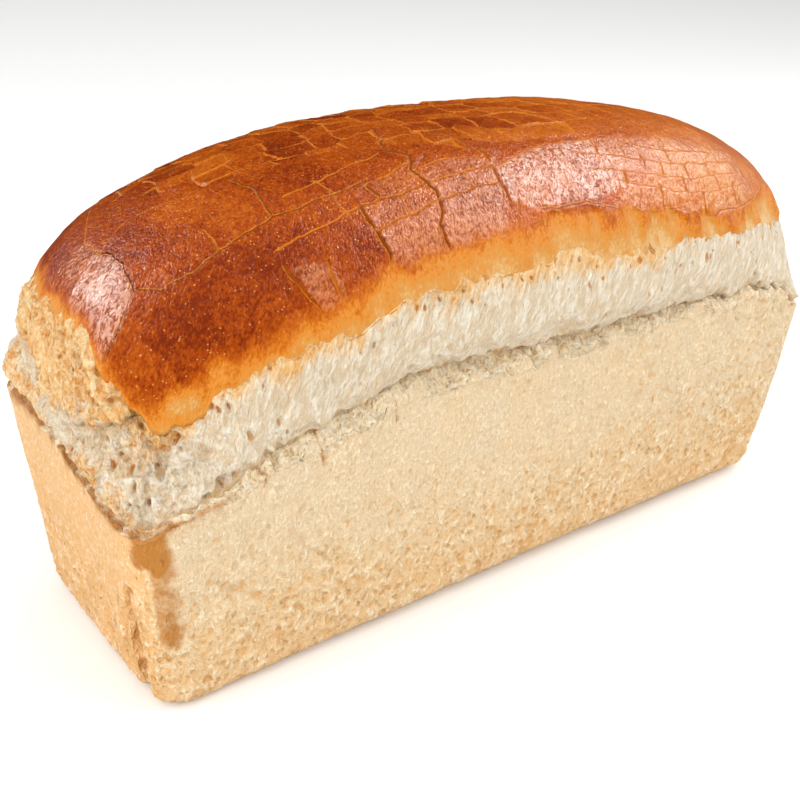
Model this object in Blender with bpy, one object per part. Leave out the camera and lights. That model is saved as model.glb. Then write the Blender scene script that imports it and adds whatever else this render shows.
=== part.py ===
"""A white tin loaf: straight tin-baked walls, a torn crumb band and a domed, cracked crust.

The loaf is one closed solid that stands on its flat base, with the origin at the bottom centre.
Its length runs along X and +Z is up. The shown long side faces -Y and the shown end faces -X.
Sizes are in metres.
"""

import math

import bmesh
import bpy
from mathutils import Vector, noise

MM = 0.001

# Walls that the tin shapes
HALF_LENGTH = 145 * MM        # at the rim
HALF_WIDTH = 51.8 * MM        # at the rim
TAPER = 7.6 * MM              # how far each wall leans in by the time it reaches the base
RIM_CORNER = 16 * MM
BASE_CORNER = 11 * MM
LEDGE = 2.4 * MM              # width of the torn edge on top of the wall
HEEL_SPREAD = 1.5             # the rounded lower edge is this much wider than high
WALL_WAVE = 0.5 * MM
WALL_WAVE_LENGTH = 34 * MM

# Folds that the dough took from the tin's lower corners. Each is a corner's number, how far
# along the wall from that corner it starts at the base and ends at its top, and its height.
FOLDS = ((0, -13, -15, 36), (1, -22, 7, 30), (2, 13, 15, 33), (3, -19, 6, 28))
FOLD_DEPTH = 3.6 * MM
FOLD_WIDTH = 4.5 * MM

# Dome
DOME_HALF_LENGTH = 144.4 * MM
DOME_HALF_WIDTH = 60.1 * MM
SHOULDER_HEIGHT = 100.9 * MM  # above this the dome closes in
CREST_HEIGHT = 153.4 * MM
CLOSE_LENGTHWISE = 2.9        # how squarely the dome closes in, seen from its side
CLOSE_ACROSS = 3.5            # and seen from its end
CLOSE_UPWARD = 2.07
PLAN_ROUND = 2.1              # plan outline at the crest, nearly an oval
PLAN_SQUARE = 3.15            # plan outline at the shoulder
CORE_HALF_LENGTH = HALF_LENGTH - HALF_WIDTH
CORE_HEIGHT = 95 * MM         # the dome is drawn by rays from a level line at this height
CRUST_WAVE = 0.4 * MM
CRUST_WAVE_LENGTH = 26 * MM

# Torn band between wall and crust. Places around the loaf count its four corners:
# 0 front left, 1 front right, 2 back right, 3 back left. Each pair is a place and a value in
# millimetres, or in degrees below the crest for the crust's lower edge.
HEELS = ((0, 5), (0.3, 7), (0.6, 9), (1, 9), (1.5, 7), (2.5, 8), (3.6, 5))
RIM_HEIGHTS = ((0, 63), (0.06, 69), (0.2, 78), (0.33, 84), (0.88, 85), (1, 73), (1.5, 79),
               (2, 74), (2.15, 84), (2.7, 86), (3, 74), (3.45, 73), (3.8, 66))
CREASE_RISES = ((0, 4), (0.12, 6), (0.3, 8), (0.7, 6), (0.9, 8), (1.5, 5), (2.5, 7), (3.5, 4))
CREASE_INSETS = ((0, 4), (0.1, 3), (0.3, 5.5), (0.9, 6), (1.1, 4), (2.5, 6), (3.1, 3.5))
ROLL_BULGES = ((0, 0), (0.13, 2), (0.4, 7), (0.85, 6), (1, 1), (1.5, 1), (2, 1), (2.5, 7), (3.2, 2))
CRUST_DROPS = ((0, 92), (0.09, 83), (0.2, 77), (0.42, 68), (0.55, 66), (0.85, 71), (1, 76),
               (1.5, 72), (2, 77), (2.3, 70), (2.7, 68), (3, 80), (3.3, 71), (3.7, 74))
ROLL_SKEW = 0.55              # under 1 puts the roll's fullest line in its lower half
LIP = 1.0 * MM                # the crust's edge stands this far out of the crumb
RAGGED_EDGE = 1.8 * MM
CRUMB_RELIEF = 1.7 * MM
TEAR_CENTRE = Vector((-139 * MM, -47 * MM, 84 * MM))
TEAR_RADIUS = 18 * MM
TEAR_DEPTH = 6 * MM
TIER_HEIGHT = 97 * MM         # a second tear runs round the shown end at this height
TIER_WIDTH = 5 * MM
TIER_DEPTH = 2.5 * MM
TIER_END = -128 * MM

# Cracks in the crust. Their routes are drawn on the crust unrolled flat: millimetres along the
# crest line, and millimetres down from it, with the front side negative.
UNROLL = 1.0 / math.radians(1.0)   # one millimetre of drop turns the ray by one degree
CRACK_DEPTH = 1.8 * MM
CRACK_REACH = 2.6                  # in unrolled millimetres
CRACK_PULL = 0.75                  # share of the way that a point near a crack moves onto it
FRONT_CRACKS = (
    ((-140, -2), (-139, -30), (-149, -39), (-157, -40)),
    ((-140, -34), (-122, -41), (-105, -40), (-92, -36), (-63, -33)),
    ((-92, -18), (-92, -36), (-100, -70)),
    ((-68, -12), (-68, -40), (-67, -62)),
    ((-68, -40), (-46, -37), (-22, -36), (4, -30)),
    ((-67, -48), (-45, -44), (-22, -42)),
    ((-44, -12), (-44, -38), (-47, -60)),
    ((-22, -14), (-20, -38), (-23, -60)),
    ((14, -34), (38, -38), (66, -40), (92, -40)),
    ((14, -50), (38, -48), (66, -51), (96, -52)),
    ((22, -57), (42, -58), (67, -63), (92, -63)),
)
BACK_CRACK_ROWS = (16, 33, 50)
BACK_CRACK_PITCH = 27
BACK_CRACK_REACH = 112

# Grid of the solid's faces
COLUMNS_LONG = 60
COLUMNS_ACROSS = 22
HEEL_ROWS = 3
WALL_ROWS = 7
CRUMB_ROWS = 5
FLANK_ROWS = 5
CRUMB_TOP = 0.97                   # how near the crumb's top row comes to the crust's edge
TOP_DROP = 42.0                    # the grid's top face starts this far down from the crest

CRUST_COLOUR = (0.42, 0.13, 0.035, 1.0)
CRUST_ROUGHNESS = 0.45


def ease(t: float) -> float:
    """Return a smooth step between 0 and 1."""
    t = min(max(t, 0.0), 1.0)
    return t * t * (3.0 - 2.0 * t)


def around(places: tuple, place: float) -> float:
    """Read a value that changes smoothly around the loaf, in metres or in degrees of drop."""
    closed = places + ((4 + places[0][0], places[0][1]),)
    place %= 4.0
    for (here, value), (there, following) in zip(closed, closed[1:]):
        if here <= place <= there:
            return value + (following - value) * ease((place - here) / (there - here))
    return closed[0][1]


def ripple(point: Vector, length: float, seed: float) -> float:
    """Return smooth noise between about -1 and 1, with waves of the given length."""
    return noise.noise(point / length + Vector((seed, -seed, 2.0 * seed)))


def rounded(x: float, y: float, half_x: float, half_y: float, radius: float) -> Vector:
    """Pull a point on a rectangle's outline onto the outline with round corners."""
    inner = Vector((min(max(x, radius - half_x), half_x - radius),
                    min(max(y, radius - half_y), half_y - radius)))
    return inner + (Vector((x, y)) - inner).normalized() * radius


def dome_value(point: Vector) -> float:
    """Return a value that is under 1 inside the dome and over 1 outside it."""
    rise = max((point.z - SHOULDER_HEIGHT) / (CREST_HEIGHT - SHOULDER_HEIGHT), 0.0)
    if rise > 0.9999:
        return 2.0
    left = 1.0 - rise ** CLOSE_UPWARD
    half_x = DOME_HALF_LENGTH * left ** (1.0 / CLOSE_LENGTHWISE)
    half_y = DOME_HALF_WIDTH * left ** (1.0 / CLOSE_ACROSS)
    power = PLAN_ROUND + (PLAN_SQUARE - PLAN_ROUND) * (1.0 - rise)
    return abs(point.x / half_x) ** power + abs(point.y / half_y) ** power


def crust_point(u: float, v: float, sink: float = 0.0) -> Vector:
    """Place a point of the unrolled crust, in millimetres, on the dome."""
    core = min(max(u, -CORE_HALF_LENGTH / MM), CORE_HALF_LENGTH / MM)
    drop = math.hypot(u - core, v)
    level = Vector((u - core, v, 0.0)).normalized() if drop > 0.0 else Vector((0.0, 0.0, 0.0))
    angle = drop / UNROLL
    ray = level * math.sin(angle) + Vector((0.0, 0.0, math.cos(angle)))
    start = Vector((core * MM, 0.0, CORE_HEIGHT))
    near, far = 0.0, HALF_WIDTH * 2.0
    for _ in range(30):
        middle = (near + far) / 2.0
        if dome_value(start + ray * middle) < 1.0:
            near = middle
        else:
            far = middle
    wave = CRUST_WAVE * ripple(start + ray * near, CRUST_WAVE_LENGTH, 3.0)
    return start + ray * (near + wave - sink)


def back_cracks() -> list:
    """Lay staggered rows of cracks, like brickwork, over the crust's back half."""
    routes = []
    for number, drop in enumerate(BACK_CRACK_ROWS):
        routes.append(((-BACK_CRACK_REACH, drop + 3), (0, drop), (BACK_CRACK_REACH, drop + 4)))
        start = -BACK_CRACK_REACH + BACK_CRACK_PITCH * (0.35 + 0.5 * (number % 2))
        while start < BACK_CRACK_REACH:
            routes.append(((start, drop), (start + 2, drop + 17)))
            start += BACK_CRACK_PITCH
    return routes


def snap_to_cracks(u: float, v: float, routes: list) -> tuple:
    """Move an unrolled point towards a crack that passes close by.

    Returns the point and how far the crust sinks there.
    """
    best = None
    for route in routes:
        for start, end in zip(route, route[1:]):
            along = Vector(end) - Vector(start)
            share = (Vector((u, v)) - Vector(start)).dot(along) / along.length_squared
            nearest = Vector(start) + along * min(max(share, 0.0), 1.0)
            gap = (Vector((u, v)) - nearest).length
            if gap < CRACK_REACH and (best is None or gap < best[0]):
                best = (gap, nearest)
    if best is None:
        return u, v, 0.0
    moved = Vector((u, v)).lerp(best[1], CRACK_PULL)
    return moved.x, moved.y, CRACK_DEPTH


class Column:
    """One upright line of the solid's side, at a place on the loaf's outline."""

    def __init__(self, a: float, b: float):
        """Find the column at a and b, which run from -1 to 1 across the grid."""
        self.foot = rounded(a * (HALF_LENGTH - TAPER), b * (HALF_WIDTH - TAPER),
                            HALF_LENGTH - TAPER, HALF_WIDTH - TAPER, BASE_CORNER)
        self.brim = rounded(a * HALF_LENGTH, b * HALF_WIDTH, HALF_LENGTH, HALF_WIDTH, RIM_CORNER)
        core = min(max(self.brim.x, -CORE_HALF_LENGTH), CORE_HALF_LENGTH)
        self.core = Vector((core, 0.0))
        self.out = (self.brim - self.core).normalized()
        if b <= -1.0:
            self.place = (a + 1.0) / 2.0
        elif a >= 1.0:
            self.place = 1.0 + (b + 1.0) / 2.0
        elif b >= 1.0:
            self.place = 2.0 + (1.0 - a) / 2.0
        else:
            self.place = 3.0 + (1.0 - b) / 2.0
        spot = Vector((self.brim.x, self.brim.y, 0.0))
        self.rim = around(RIM_HEIGHTS, self.place) * MM + RAGGED_EDGE / 2 * ripple(spot, 9 * MM, 5.0)
        self.drop = around(CRUST_DROPS, self.place) + RAGGED_EDGE / MM * ripple(spot, 11 * MM, 7.0)
        self.heel = around(HEELS, self.place) * MM

    def fold(self, height: float) -> float:
        """Return how deep the corner folds cut in at this height."""
        depth = 0.0
        for corner, low, high, top in FOLDS:
            turn = (self.place - corner + 2.0) % 4.0 - 2.0
            long_side = (turn > 0.0) == (corner % 2 == 0)
            along = turn * 2.0 * (HALF_LENGTH if long_side else HALF_WIDTH)
            share = height / (top * MM)
            gap = (along - (low + (high - low) * share) * MM) / FOLD_WIDTH
            depth += FOLD_DEPTH * math.exp(-gap * gap) * ease((1.15 - share) * 3.0)
        return depth

    def wall(self, height: float, inset: float) -> Vector:
        """Return the wall's point at a height, moved in by inset."""
        plan = self.foot.lerp(self.brim, min(height / self.rim, 1.0))
        point = Vector((plan.x, plan.y, height))
        wave = WALL_WAVE * (ripple(point, WALL_WAVE_LENGTH, 1.0) - 1.0)
        plan = plan + self.out * (wave - inset - self.fold(height))
        return Vector((plan.x, plan.y, height))

    def lower_edge(self, share: float) -> Vector:
        """Return a point on the rounded lower edge, share running from base to wall."""
        angle = share * math.pi / 2.0
        radius = self.heel
        inset = radius * HEEL_SPREAD * (1.0 - math.sin(angle))
        return self.wall(radius * (1.0 - math.cos(angle)), inset)

    def crease(self) -> Vector:
        """Return the point where the wall's torn ledge meets the crumb."""
        height = self.rim + around(CREASE_RISES, self.place) * MM
        return self.wall(height, around(CREASE_INSETS, self.place) * MM)

    def crust_edge(self) -> Vector:
        """Return the lower edge of the crust."""
        return self.flank(self.drop)

    def flank(self, drop: float) -> Vector:
        """Return the crust's point that lies drop unrolled millimetres below the crest."""
        u, v = self.unrolled(drop)
        return crust_point(u, v)

    def unrolled(self, drop: float) -> tuple:
        """Return the unrolled place of this column at a drop."""
        spot = self.core / MM + self.out * drop
        return spot.x, spot.y

    def crumb(self, share: float) -> Vector:
        """Return a point of the torn crumb, share running from crease to crust."""
        out = Vector((self.out.x, self.out.y, 0.0))
        point = self.crease().lerp(self.crust_edge() - out * LIP, share)
        bulge = around(ROLL_BULGES, self.place) * MM * math.sin(math.pi * share ** ROLL_SKEW)
        relief = CRUMB_RELIEF * ripple(point, 8 * MM, 11.0) * math.sin(math.pi * share)
        gap = (point - TEAR_CENTRE).length / TEAR_RADIUS
        tear = TEAR_DEPTH * math.exp(-gap * gap)
        above = (point.z - TIER_HEIGHT) / TIER_WIDTH
        shown_end = ease((TIER_END - point.x) / TIER_WIDTH)
        tier = TIER_DEPTH * math.exp(-above * above) * shown_end
        return point + out * (bulge + relief - tear - tier)


def side_point(column: Column, row: int, routes: list) -> Vector:
    """Place the side's grid point of one column and one row, counted up from the base."""
    if row <= HEEL_ROWS:
        return column.lower_edge(row / HEEL_ROWS)
    row -= HEEL_ROWS
    if row <= WALL_ROWS:
        share = row / WALL_ROWS
        return column.wall(column.heel + (column.rim - column.heel) * share, 0.0)
    row -= WALL_ROWS
    if row == 1:
        return column.wall(column.rim + LEDGE / 2, LEDGE)
    row -= 1
    if row <= CRUMB_ROWS + 1:
        return column.crumb((row - 1) / CRUMB_ROWS * CRUMB_TOP)
    row -= CRUMB_ROWS + 2
    drop = column.drop + (TOP_DROP - column.drop) * row / FLANK_ROWS
    u, v, sink = snap_to_cracks(*column.unrolled(drop), routes)
    return crust_point(u, v, sink)


def top_point(a: float, b: float, routes: list) -> Vector:
    """Place a point of the grid's top face on the crust."""
    x, y = a * HALF_LENGTH, b * HALF_WIDTH
    core = min(max(x, -CORE_HALF_LENGTH), CORE_HALF_LENGTH)
    share = max(abs(x - core), abs(y)) / HALF_WIDTH
    if share == 0.0:
        return crust_point(core / MM, 0.0)
    edge = Column((core + (x - core) / share) / HALF_LENGTH, y / share / HALF_WIDTH)
    u, v, sink = snap_to_cracks(*edge.unrolled(TOP_DROP * share), routes)
    return crust_point(u, v, sink)


def grid_block(rows: int) -> bmesh.types.BMesh:
    """Return a block from -1 to 1 with its sides divided into the solid's grid."""
    mesh = bmesh.new()
    bmesh.ops.create_cube(mesh, size=2.0)
    for axis, count in enumerate((COLUMNS_LONG, COLUMNS_ACROSS, rows)):
        edges = [edge for edge in mesh.edges
                 if abs(edge.verts[0].co[axis] - edge.verts[1].co[axis]) > 1.0]
        bmesh.ops.subdivide_edges(mesh, edges=edges, cuts=count - 1, use_grid_fill=True)
    return mesh


def make_loaf() -> bpy.types.Object:
    """Build the loaf's solid."""
    rows = HEEL_ROWS + WALL_ROWS + CRUMB_ROWS + FLANK_ROWS + 3
    mesh = grid_block(rows)
    routes = list(FRONT_CRACKS) + back_cracks()
    columns = {}
    inner = [vert for vert in mesh.verts
             if vert.co.z < -0.999 and max(abs(vert.co.x), abs(vert.co.y)) < 0.999]
    bmesh.ops.dissolve_verts(mesh, verts=inner)
    for vert in mesh.verts:
        a, b = vert.co.x, vert.co.y
        if max(abs(a), abs(b)) < 0.999:
            vert.co = top_point(a, b, routes)
            continue
        key = (round(a, 4), round(b, 4))
        if key not in columns:
            columns[key] = Column(*key)
        vert.co = side_point(columns[key], round((vert.co.z + 1.0) / 2.0 * rows), routes)
    middle = [sum(limit(vert.co[axis] for vert in mesh.verts) for limit in (min, max)) / 2.0
              for axis in (0, 1)]
    bmesh.ops.translate(mesh, verts=mesh.verts, vec=(-middle[0], -middle[1], 0.0))
    data = bpy.data.meshes.new("tin_loaf")
    mesh.to_mesh(data)
    mesh.free()
    data.shade_smooth()
    return bpy.data.objects.new("tin_loaf", data)


def crust_material() -> bpy.types.Material:
    """Make the loaf's baked finish."""
    material = bpy.data.materials.new("baked_bread")
    material.use_nodes = True
    shader = material.node_tree.nodes["Principled BSDF"]
    shader.inputs["Base Color"].default_value = CRUST_COLOUR
    shader.inputs["Roughness"].default_value = CRUST_ROUGHNESS
    shader.inputs["Metallic"].default_value = 0.0
    return material


def main() -> None:
    """Clear the scene and build the loaf in its collection."""
    for old in list(bpy.data.objects):
        bpy.data.objects.remove(old, do_unlink=True)
    loaf = make_loaf()
    loaf.data.materials.append(crust_material())
    parts = bpy.data.collections.new("tin_loaf_parts")
    bpy.context.scene.collection.children.link(parts)
    parts.objects.link(loaf)


main()
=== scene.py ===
"""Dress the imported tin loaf: porous tin-baked walls, torn crumb and a cracked, glazed crust.

The loaf is made as three closed pieces that sit in each other: the walls, the crumb that burst
out above them, and the crust on top. Sizes are in metres unless they are given as millimetres.
Places around the loaf count its four corners: 0 front left, 1 front right, 2 back right and
3 back left, so that 0.5 is the middle of the shown long side.
"""

from __future__ import annotations

import logging
import math
from collections.abc import Callable
from dataclasses import dataclass, field
from enum import Enum

import bmesh
import bpy
import numpy as np
from mathutils import Matrix, Vector

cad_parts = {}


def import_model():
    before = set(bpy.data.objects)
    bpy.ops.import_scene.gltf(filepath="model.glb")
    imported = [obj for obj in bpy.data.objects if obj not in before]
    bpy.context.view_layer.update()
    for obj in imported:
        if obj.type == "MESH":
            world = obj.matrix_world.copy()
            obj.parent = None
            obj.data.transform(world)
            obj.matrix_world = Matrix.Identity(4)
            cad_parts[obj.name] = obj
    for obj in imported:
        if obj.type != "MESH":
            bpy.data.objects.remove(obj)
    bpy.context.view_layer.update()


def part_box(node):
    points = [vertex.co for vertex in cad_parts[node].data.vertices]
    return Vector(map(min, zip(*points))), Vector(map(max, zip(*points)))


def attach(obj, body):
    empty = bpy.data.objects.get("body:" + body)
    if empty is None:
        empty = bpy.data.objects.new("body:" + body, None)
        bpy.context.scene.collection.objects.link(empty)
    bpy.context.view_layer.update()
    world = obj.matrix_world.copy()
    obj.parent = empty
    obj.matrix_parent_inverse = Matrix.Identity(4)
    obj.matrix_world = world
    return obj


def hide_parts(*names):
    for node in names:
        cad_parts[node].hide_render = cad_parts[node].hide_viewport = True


MM = 0.001
LOG = logging.getLogger("tin_loaf")
NODE = "tin_loaf"
BODY = "root"
CORNERS = 4.0
TINY = 1e-9
NEARLY = 1e-5
HASH_PRIMES = (73856093, 19349663, 83492791)
HASH_STEP = 2654435761
HASH_SCRAMBLE = 0x45D9F3B
HASH_WORD = 0xFFFFFFFF
HASH_RANGE = 0xFFFFFF

Pairs = tuple[tuple[float, float], ...]
Colour = tuple[float, float, float]


class Slot(Enum):
    """Material slots of the record."""

    BREAD = "baked_bread"


class Axis(Enum):
    """Directions of the block that every piece starts from."""

    LONG = 0
    ACROSS = 1
    UP = 2


class Part(Enum):
    """Kinds of mesh parts that are selected."""

    EDGE = "edges"
    FACE = "faces"


class Reach(Enum):
    """What a lamp shows on."""

    MATT = "matt"
    GLOSSY = "glossy"


def unit(values: np.ndarray) -> np.ndarray:
    """Return values held between 0 and 1."""
    return np.clip(values, 0.0, 1.0)


def ease(share: np.ndarray) -> np.ndarray:
    """Return a smooth step.

    Args:
        share: Values of which 0 and below give 0, and 1 and above give 1.

    Returns:
        The eased values.
    """
    share = unit(share)
    return share * share * (3.0 - 2.0 * share)


def mix(low: np.ndarray, high: np.ndarray, share: np.ndarray) -> np.ndarray:
    """Blend two arrays.

    Args:
        low: Values where share is 0.
        high: Values where share is 1.
        share: The blend.

    Returns:
        The blended values.
    """
    return low + (high - low) * share


def bell(distance: np.ndarray, width: float) -> np.ndarray:
    """Return a soft bump that is 1 at distance 0.

    Args:
        distance: Distances from the middle of the bump.
        width: Where the bump has dropped to about a third.

    Returns:
        The bump's heights.
    """
    return np.exp(-((distance / width) ** 2))


def onset(value: np.ndarray, start: float, width: float) -> np.ndarray:
    """Return a smooth step that begins at one value and is done a width further on.

    Args:
        value: The values.
        start: Where the step begins.
        width: How much further on it is done.

    Returns:
        The eased values, from 0 to 1.
    """
    return ease((value - start) / width)


def grounded(spots: np.ndarray) -> np.ndarray:
    """Return spots seen from above as points at height 0."""
    return np.column_stack([spots, np.zeros(len(spots))])


def past_corner(place: np.ndarray, corner: int = 0) -> np.ndarray:
    """Return how far places around the loaf lie past a corner, from -2 to 2."""
    return np.mod(place - corner + CORNERS / 2.0, CORNERS) - CORNERS / 2.0


def around(pairs: Pairs, place: np.ndarray) -> np.ndarray:
    """Read a value that changes smoothly around the loaf.

    Args:
        pairs: Places and values, in order of place.
        place: Places to read at.

    Returns:
        The values there.
    """
    places = np.array([pair[0] for pair in pairs] + [CORNERS + pairs[0][0]])
    values = np.array([pair[1] for pair in pairs] + [pairs[0][1]])
    place = np.mod(place, CORNERS)
    index = np.clip(np.searchsorted(places, place, side="right") - 1, 0, len(pairs) - 1)
    share = (place - places[index]) / (places[index + 1] - places[index])
    return mix(values[index], values[index + 1], ease(share))


@dataclass(frozen=True)
class Grain:
    """Seeded noise in space, read at many points at once."""

    seed: int

    def hashed(self, cells: np.ndarray, salt: int) -> np.ndarray:
        """Give every cell of a lattice a number of its own.

        Args:
            cells: Whole-numbered cells, one in each row.
            salt: Picks one of several such numbers.

        Returns:
            Numbers from 0 to 1.
        """
        along, across, up = (cells[:, axis] * HASH_PRIMES[axis] for axis in range(3))
        mixed = (along ^ across ^ up) + (self.seed * 101 + salt) * HASH_STEP & HASH_WORD
        for _ in range(2):
            mixed = ((mixed >> 16) ^ mixed) * HASH_SCRAMBLE & HASH_WORD
        return (((mixed >> 16) ^ mixed) & HASH_RANGE) / float(HASH_RANGE)

    def wave(self, points: np.ndarray, cell: float | Colour, salt: int = 0) -> np.ndarray:
        """Read smooth noise.

        Args:
            points: Places, one in each row.
            cell: Size of its waves, one for all directions or one for each.
            salt: Picks one of several such fields.

        Returns:
            Values from -1 to 1.
        """
        scaled = points / np.array(cell)
        corner = np.floor(scaled).astype(np.int64)
        share = ease(scaled - corner)
        total = np.zeros(len(points))
        for step in np.ndindex(2, 2, 2):
            weight = np.prod(np.where(np.array(step) == 1, share, 1.0 - share), axis=1)
            total += weight * self.hashed(corner + np.array(step), salt)
        return total * 2.0 - 1.0

    def rough(self, points: np.ndarray, cell: float | Colour, octaves: int,
              salt: int = 0) -> np.ndarray:
        """Read noise with ever finer waves on it.

        Args:
            points: Places, one in each row.
            cell: Size of its largest waves.
            octaves: How many sizes of waves there are, each half the one before.
            salt: Picks one of several such fields.

        Returns:
            Values from about -1 to 1.
        """
        total = np.zeros(len(points))
        for octave in range(octaves):
            finer = np.array(cell) / 2.0 ** octave
            total += 0.5 ** octave * self.wave(points, finer, salt + 17 * octave)
        return total / (2.0 - 0.5 ** (octaves - 1))

    def bubbles(self, points: np.ndarray, cell: float | Colour,
                salt: int = 0) -> tuple[np.ndarray, np.ndarray]:
        """Find the nearest of many scattered bubbles.

        Args:
            points: Places, one in each row.
            cell: Mean distance between bubbles, one for all directions or one for each.
            salt: Picks one of several such fields.

        Returns:
            Distances to the nearest bubble's middle in cells, and a number from 0 to 1 that
            belongs to that bubble.
        """
        scaled = points / np.array(cell)
        corner = np.floor(scaled).astype(np.int64)
        nearest = np.full(len(points), 9.0)
        owner = np.zeros(len(points))
        for step in np.ndindex(3, 3, 3):
            home = corner + np.array(step) - 1
            middle = np.stack([self.hashed(home, salt + axis) for axis in range(3)], axis=1)
            gap = np.linalg.norm(home + middle - scaled, axis=1)
            closer = gap < nearest
            nearest = np.where(closer, gap, nearest)
            owner = np.where(closer, self.hashed(home, salt + 3), owner)
        return nearest, owner

    def warped(self, points: np.ndarray, cell: float, reach: float, salt: int = 0) -> np.ndarray:
        """Shift points about, so that what is read there loses its straight lines.

        Args:
            points: Places, one in each row.
            cell: Size of the waves that shift them.
            reach: How far they shift at most.
            salt: Picks one of several such fields.

        Returns:
            The shifted points.
        """
        shift = [self.wave(points, cell, salt + 5 * axis) for axis in range(points.shape[1])]
        return points + reach * np.stack(shift, axis=1)


@dataclass(frozen=True)
class Columns:
    """Upright lines of the loaf's side, one for each vertex of a block.

    Foot and brim are their ends seen from above, core is the spot on the dome's level line that
    they face, out is the way that they face, and place is where they are around the loaf.
    """

    foot: np.ndarray
    brim: np.ndarray
    core: np.ndarray
    out: np.ndarray
    place: np.ndarray


@dataclass(frozen=True)
class LoafForm:
    """The loaf's form, on which every piece is drawn.

    The close and plan values are the powers that round off the dome. A fold gives its corner,
    where its foot and its top lie past that corner, and how high it reaches. Folds and the
    values around the loaf are in millimetres.
    """

    half_length: float
    half_width: float
    crest_height: float
    dome_half_width: float
    dome_half_length: float
    limits: tuple[float, float, float]
    taper: float = 7.6 * MM
    rim_corner: float = 16.0 * MM
    base_corner: float = 11.0 * MM
    heel_spread: float = 1.5
    shoulder_height: float = 100.9 * MM
    close_lengthwise: float = 2.9
    close_across: float = 3.5
    close_upward: float = 2.07
    plan_round: float = 2.1
    plan_square: float = 3.15
    core_height: float = 95.0 * MM
    fold_depth: float = 3.6 * MM
    fold_width: float = 3.0 * MM
    knee: float = 1.5 * MM
    halvings: int = 26
    folds: tuple[tuple[float, float, float, float], ...] = (
        (0, -13, -15, 36), (1, -22, 7, 30), (2, 13, 15, 33), (3, -19, 6, 28))
    heels: Pairs = ((0, 5), (0.3, 7), (0.6, 9), (1, 9), (1.5, 7), (2.5, 8), (3.6, 5))
    rim_heights: Pairs = ((0, 63), (0.06, 69), (0.2, 78), (0.33, 84), (0.88, 85), (1, 73),
                          (1.5, 79), (2, 74), (2.15, 84), (2.7, 86), (3, 74), (3.45, 73), (3.8, 66))
    crease_rises: Pairs = ((0, 1.5), (0.06, 2), (0.14, 6), (0.3, 8), (0.7, 6), (0.85, 5),
                           (0.96, 2.4), (1.1, 2.6), (1.5, 4), (2.5, 7), (3.1, 3), (3.5, 1.5))
    crease_insets: Pairs = ((0, 2), (0.08, 1.8), (0.16, 3.5), (0.3, 5.5), (0.7, 5), (0.86, 3.6),
                            (0.96, 2), (1.1, 2.2), (1.5, 3.5), (2.5, 6), (3.1, 2.4), (3.6, 1.4))
    roll_bulges: Pairs = ((0, 0), (0.13, 2), (0.4, 7), (0.7, 6), (0.84, 3.2), (0.94, 0.8),
                          (1.5, 1), (2, 1), (2.5, 7), (3.2, 2))
    crust_drops: Pairs = ((0, 94), (0.053, 92.5), (0.09, 84), (0.139, 78), (0.19, 75), (0.27, 69.5),
                          (0.42, 67), (0.48, 66), (0.56, 69), (0.71, 71), (0.85, 71), (1, 76),
                          (1.5, 72), (2, 77), (2.3, 70), (2.7, 68), (3, 79), (3.29, 70),
                          (3.47, 70.5), (3.67, 72.5), (3.84, 84), (3.93, 90.5))

    @classmethod
    def from_frame(cls, low: Vector, high: Vector, rim_share: float = 0.886,
                   margin: float = 0.03 * MM) -> LoafForm:
        """Take the loaf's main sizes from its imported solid.

        Args:
            low: Lowest corner of the solid's box.
            high: Highest corner of the solid's box.
            rim_share: How wide the walls' rim is, as a share of the box.
            margin: Room that is left free inside the box everywhere.

        Returns:
            The form that fills the box, less the room that its relief takes.
        """
        half_length = (high.x - low.x) / 2.0
        half_width = (high.y - low.y) / 2.0
        return cls(half_length=half_length - 0.5 * MM,
                   half_width=half_width * rim_share,
                   crest_height=high.z - 1.2 * MM,
                   dome_half_width=half_width + 1.0 * MM,
                   dome_half_length=half_length - 0.9 * MM,
                   limits=(half_length - margin, half_width - margin, high.z - margin))

    @property
    def core_half(self) -> float:
        """Half the length of the level line inside the dome from which it is drawn."""
        return self.half_length - self.half_width

    def rounded(self, spots: np.ndarray, half: np.ndarray, radius: float) -> np.ndarray:
        """Pull points on a rectangle's outline onto the outline with round corners.

        Args:
            spots: Points of the outline, seen from above.
            half: Half the rectangle's length and width.
            radius: Radius of its corners.

        Returns:
            The moved points.
        """
        inner = np.clip(spots, radius - half, half - radius)
        away = spots - inner
        return inner + radius * away / np.linalg.norm(away, axis=1)[:, None]

    def columns(self, place: np.ndarray) -> Columns:
        """Find the columns at places around the loaf.

        Args:
            place: The places.

        Returns:
            The columns.
        """
        side = np.floor(place).astype(int) % 4
        along = 2.0 * np.mod(place, 1.0) - 1.0
        edge = np.ones_like(along)
        a = np.choose(side, [along, edge, -along, -edge])
        b = np.choose(side, [-edge, along, edge, -along])
        spots = np.stack([a, b], axis=1)
        brim_half = np.array([self.half_length, self.half_width])
        foot_half = brim_half - self.taper
        foot = self.rounded(spots * foot_half, foot_half, self.base_corner)
        brim = self.rounded(spots * brim_half, brim_half, self.rim_corner)
        core = np.clip(brim[:, 0], -self.core_half, self.core_half)
        out = brim - np.stack([core, np.zeros_like(core)], axis=1)
        out /= np.linalg.norm(out, axis=1)[:, None]
        return Columns(foot, brim, core, out, np.mod(place, CORNERS))

    def from_corner(self, place: np.ndarray, corner: int = 0) -> np.ndarray:
        """Measure how far along the walls places lie from a corner.

        Args:
            place: Places around the loaf.
            corner: The corner.

        Returns:
            Distances, negative before the corner.
        """
        turn = past_corner(place, corner)
        long_side = (turn > 0.0) == (corner % 2 == 0)
        return turn * 2.0 * np.where(long_side, self.half_length, self.half_width)

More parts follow.
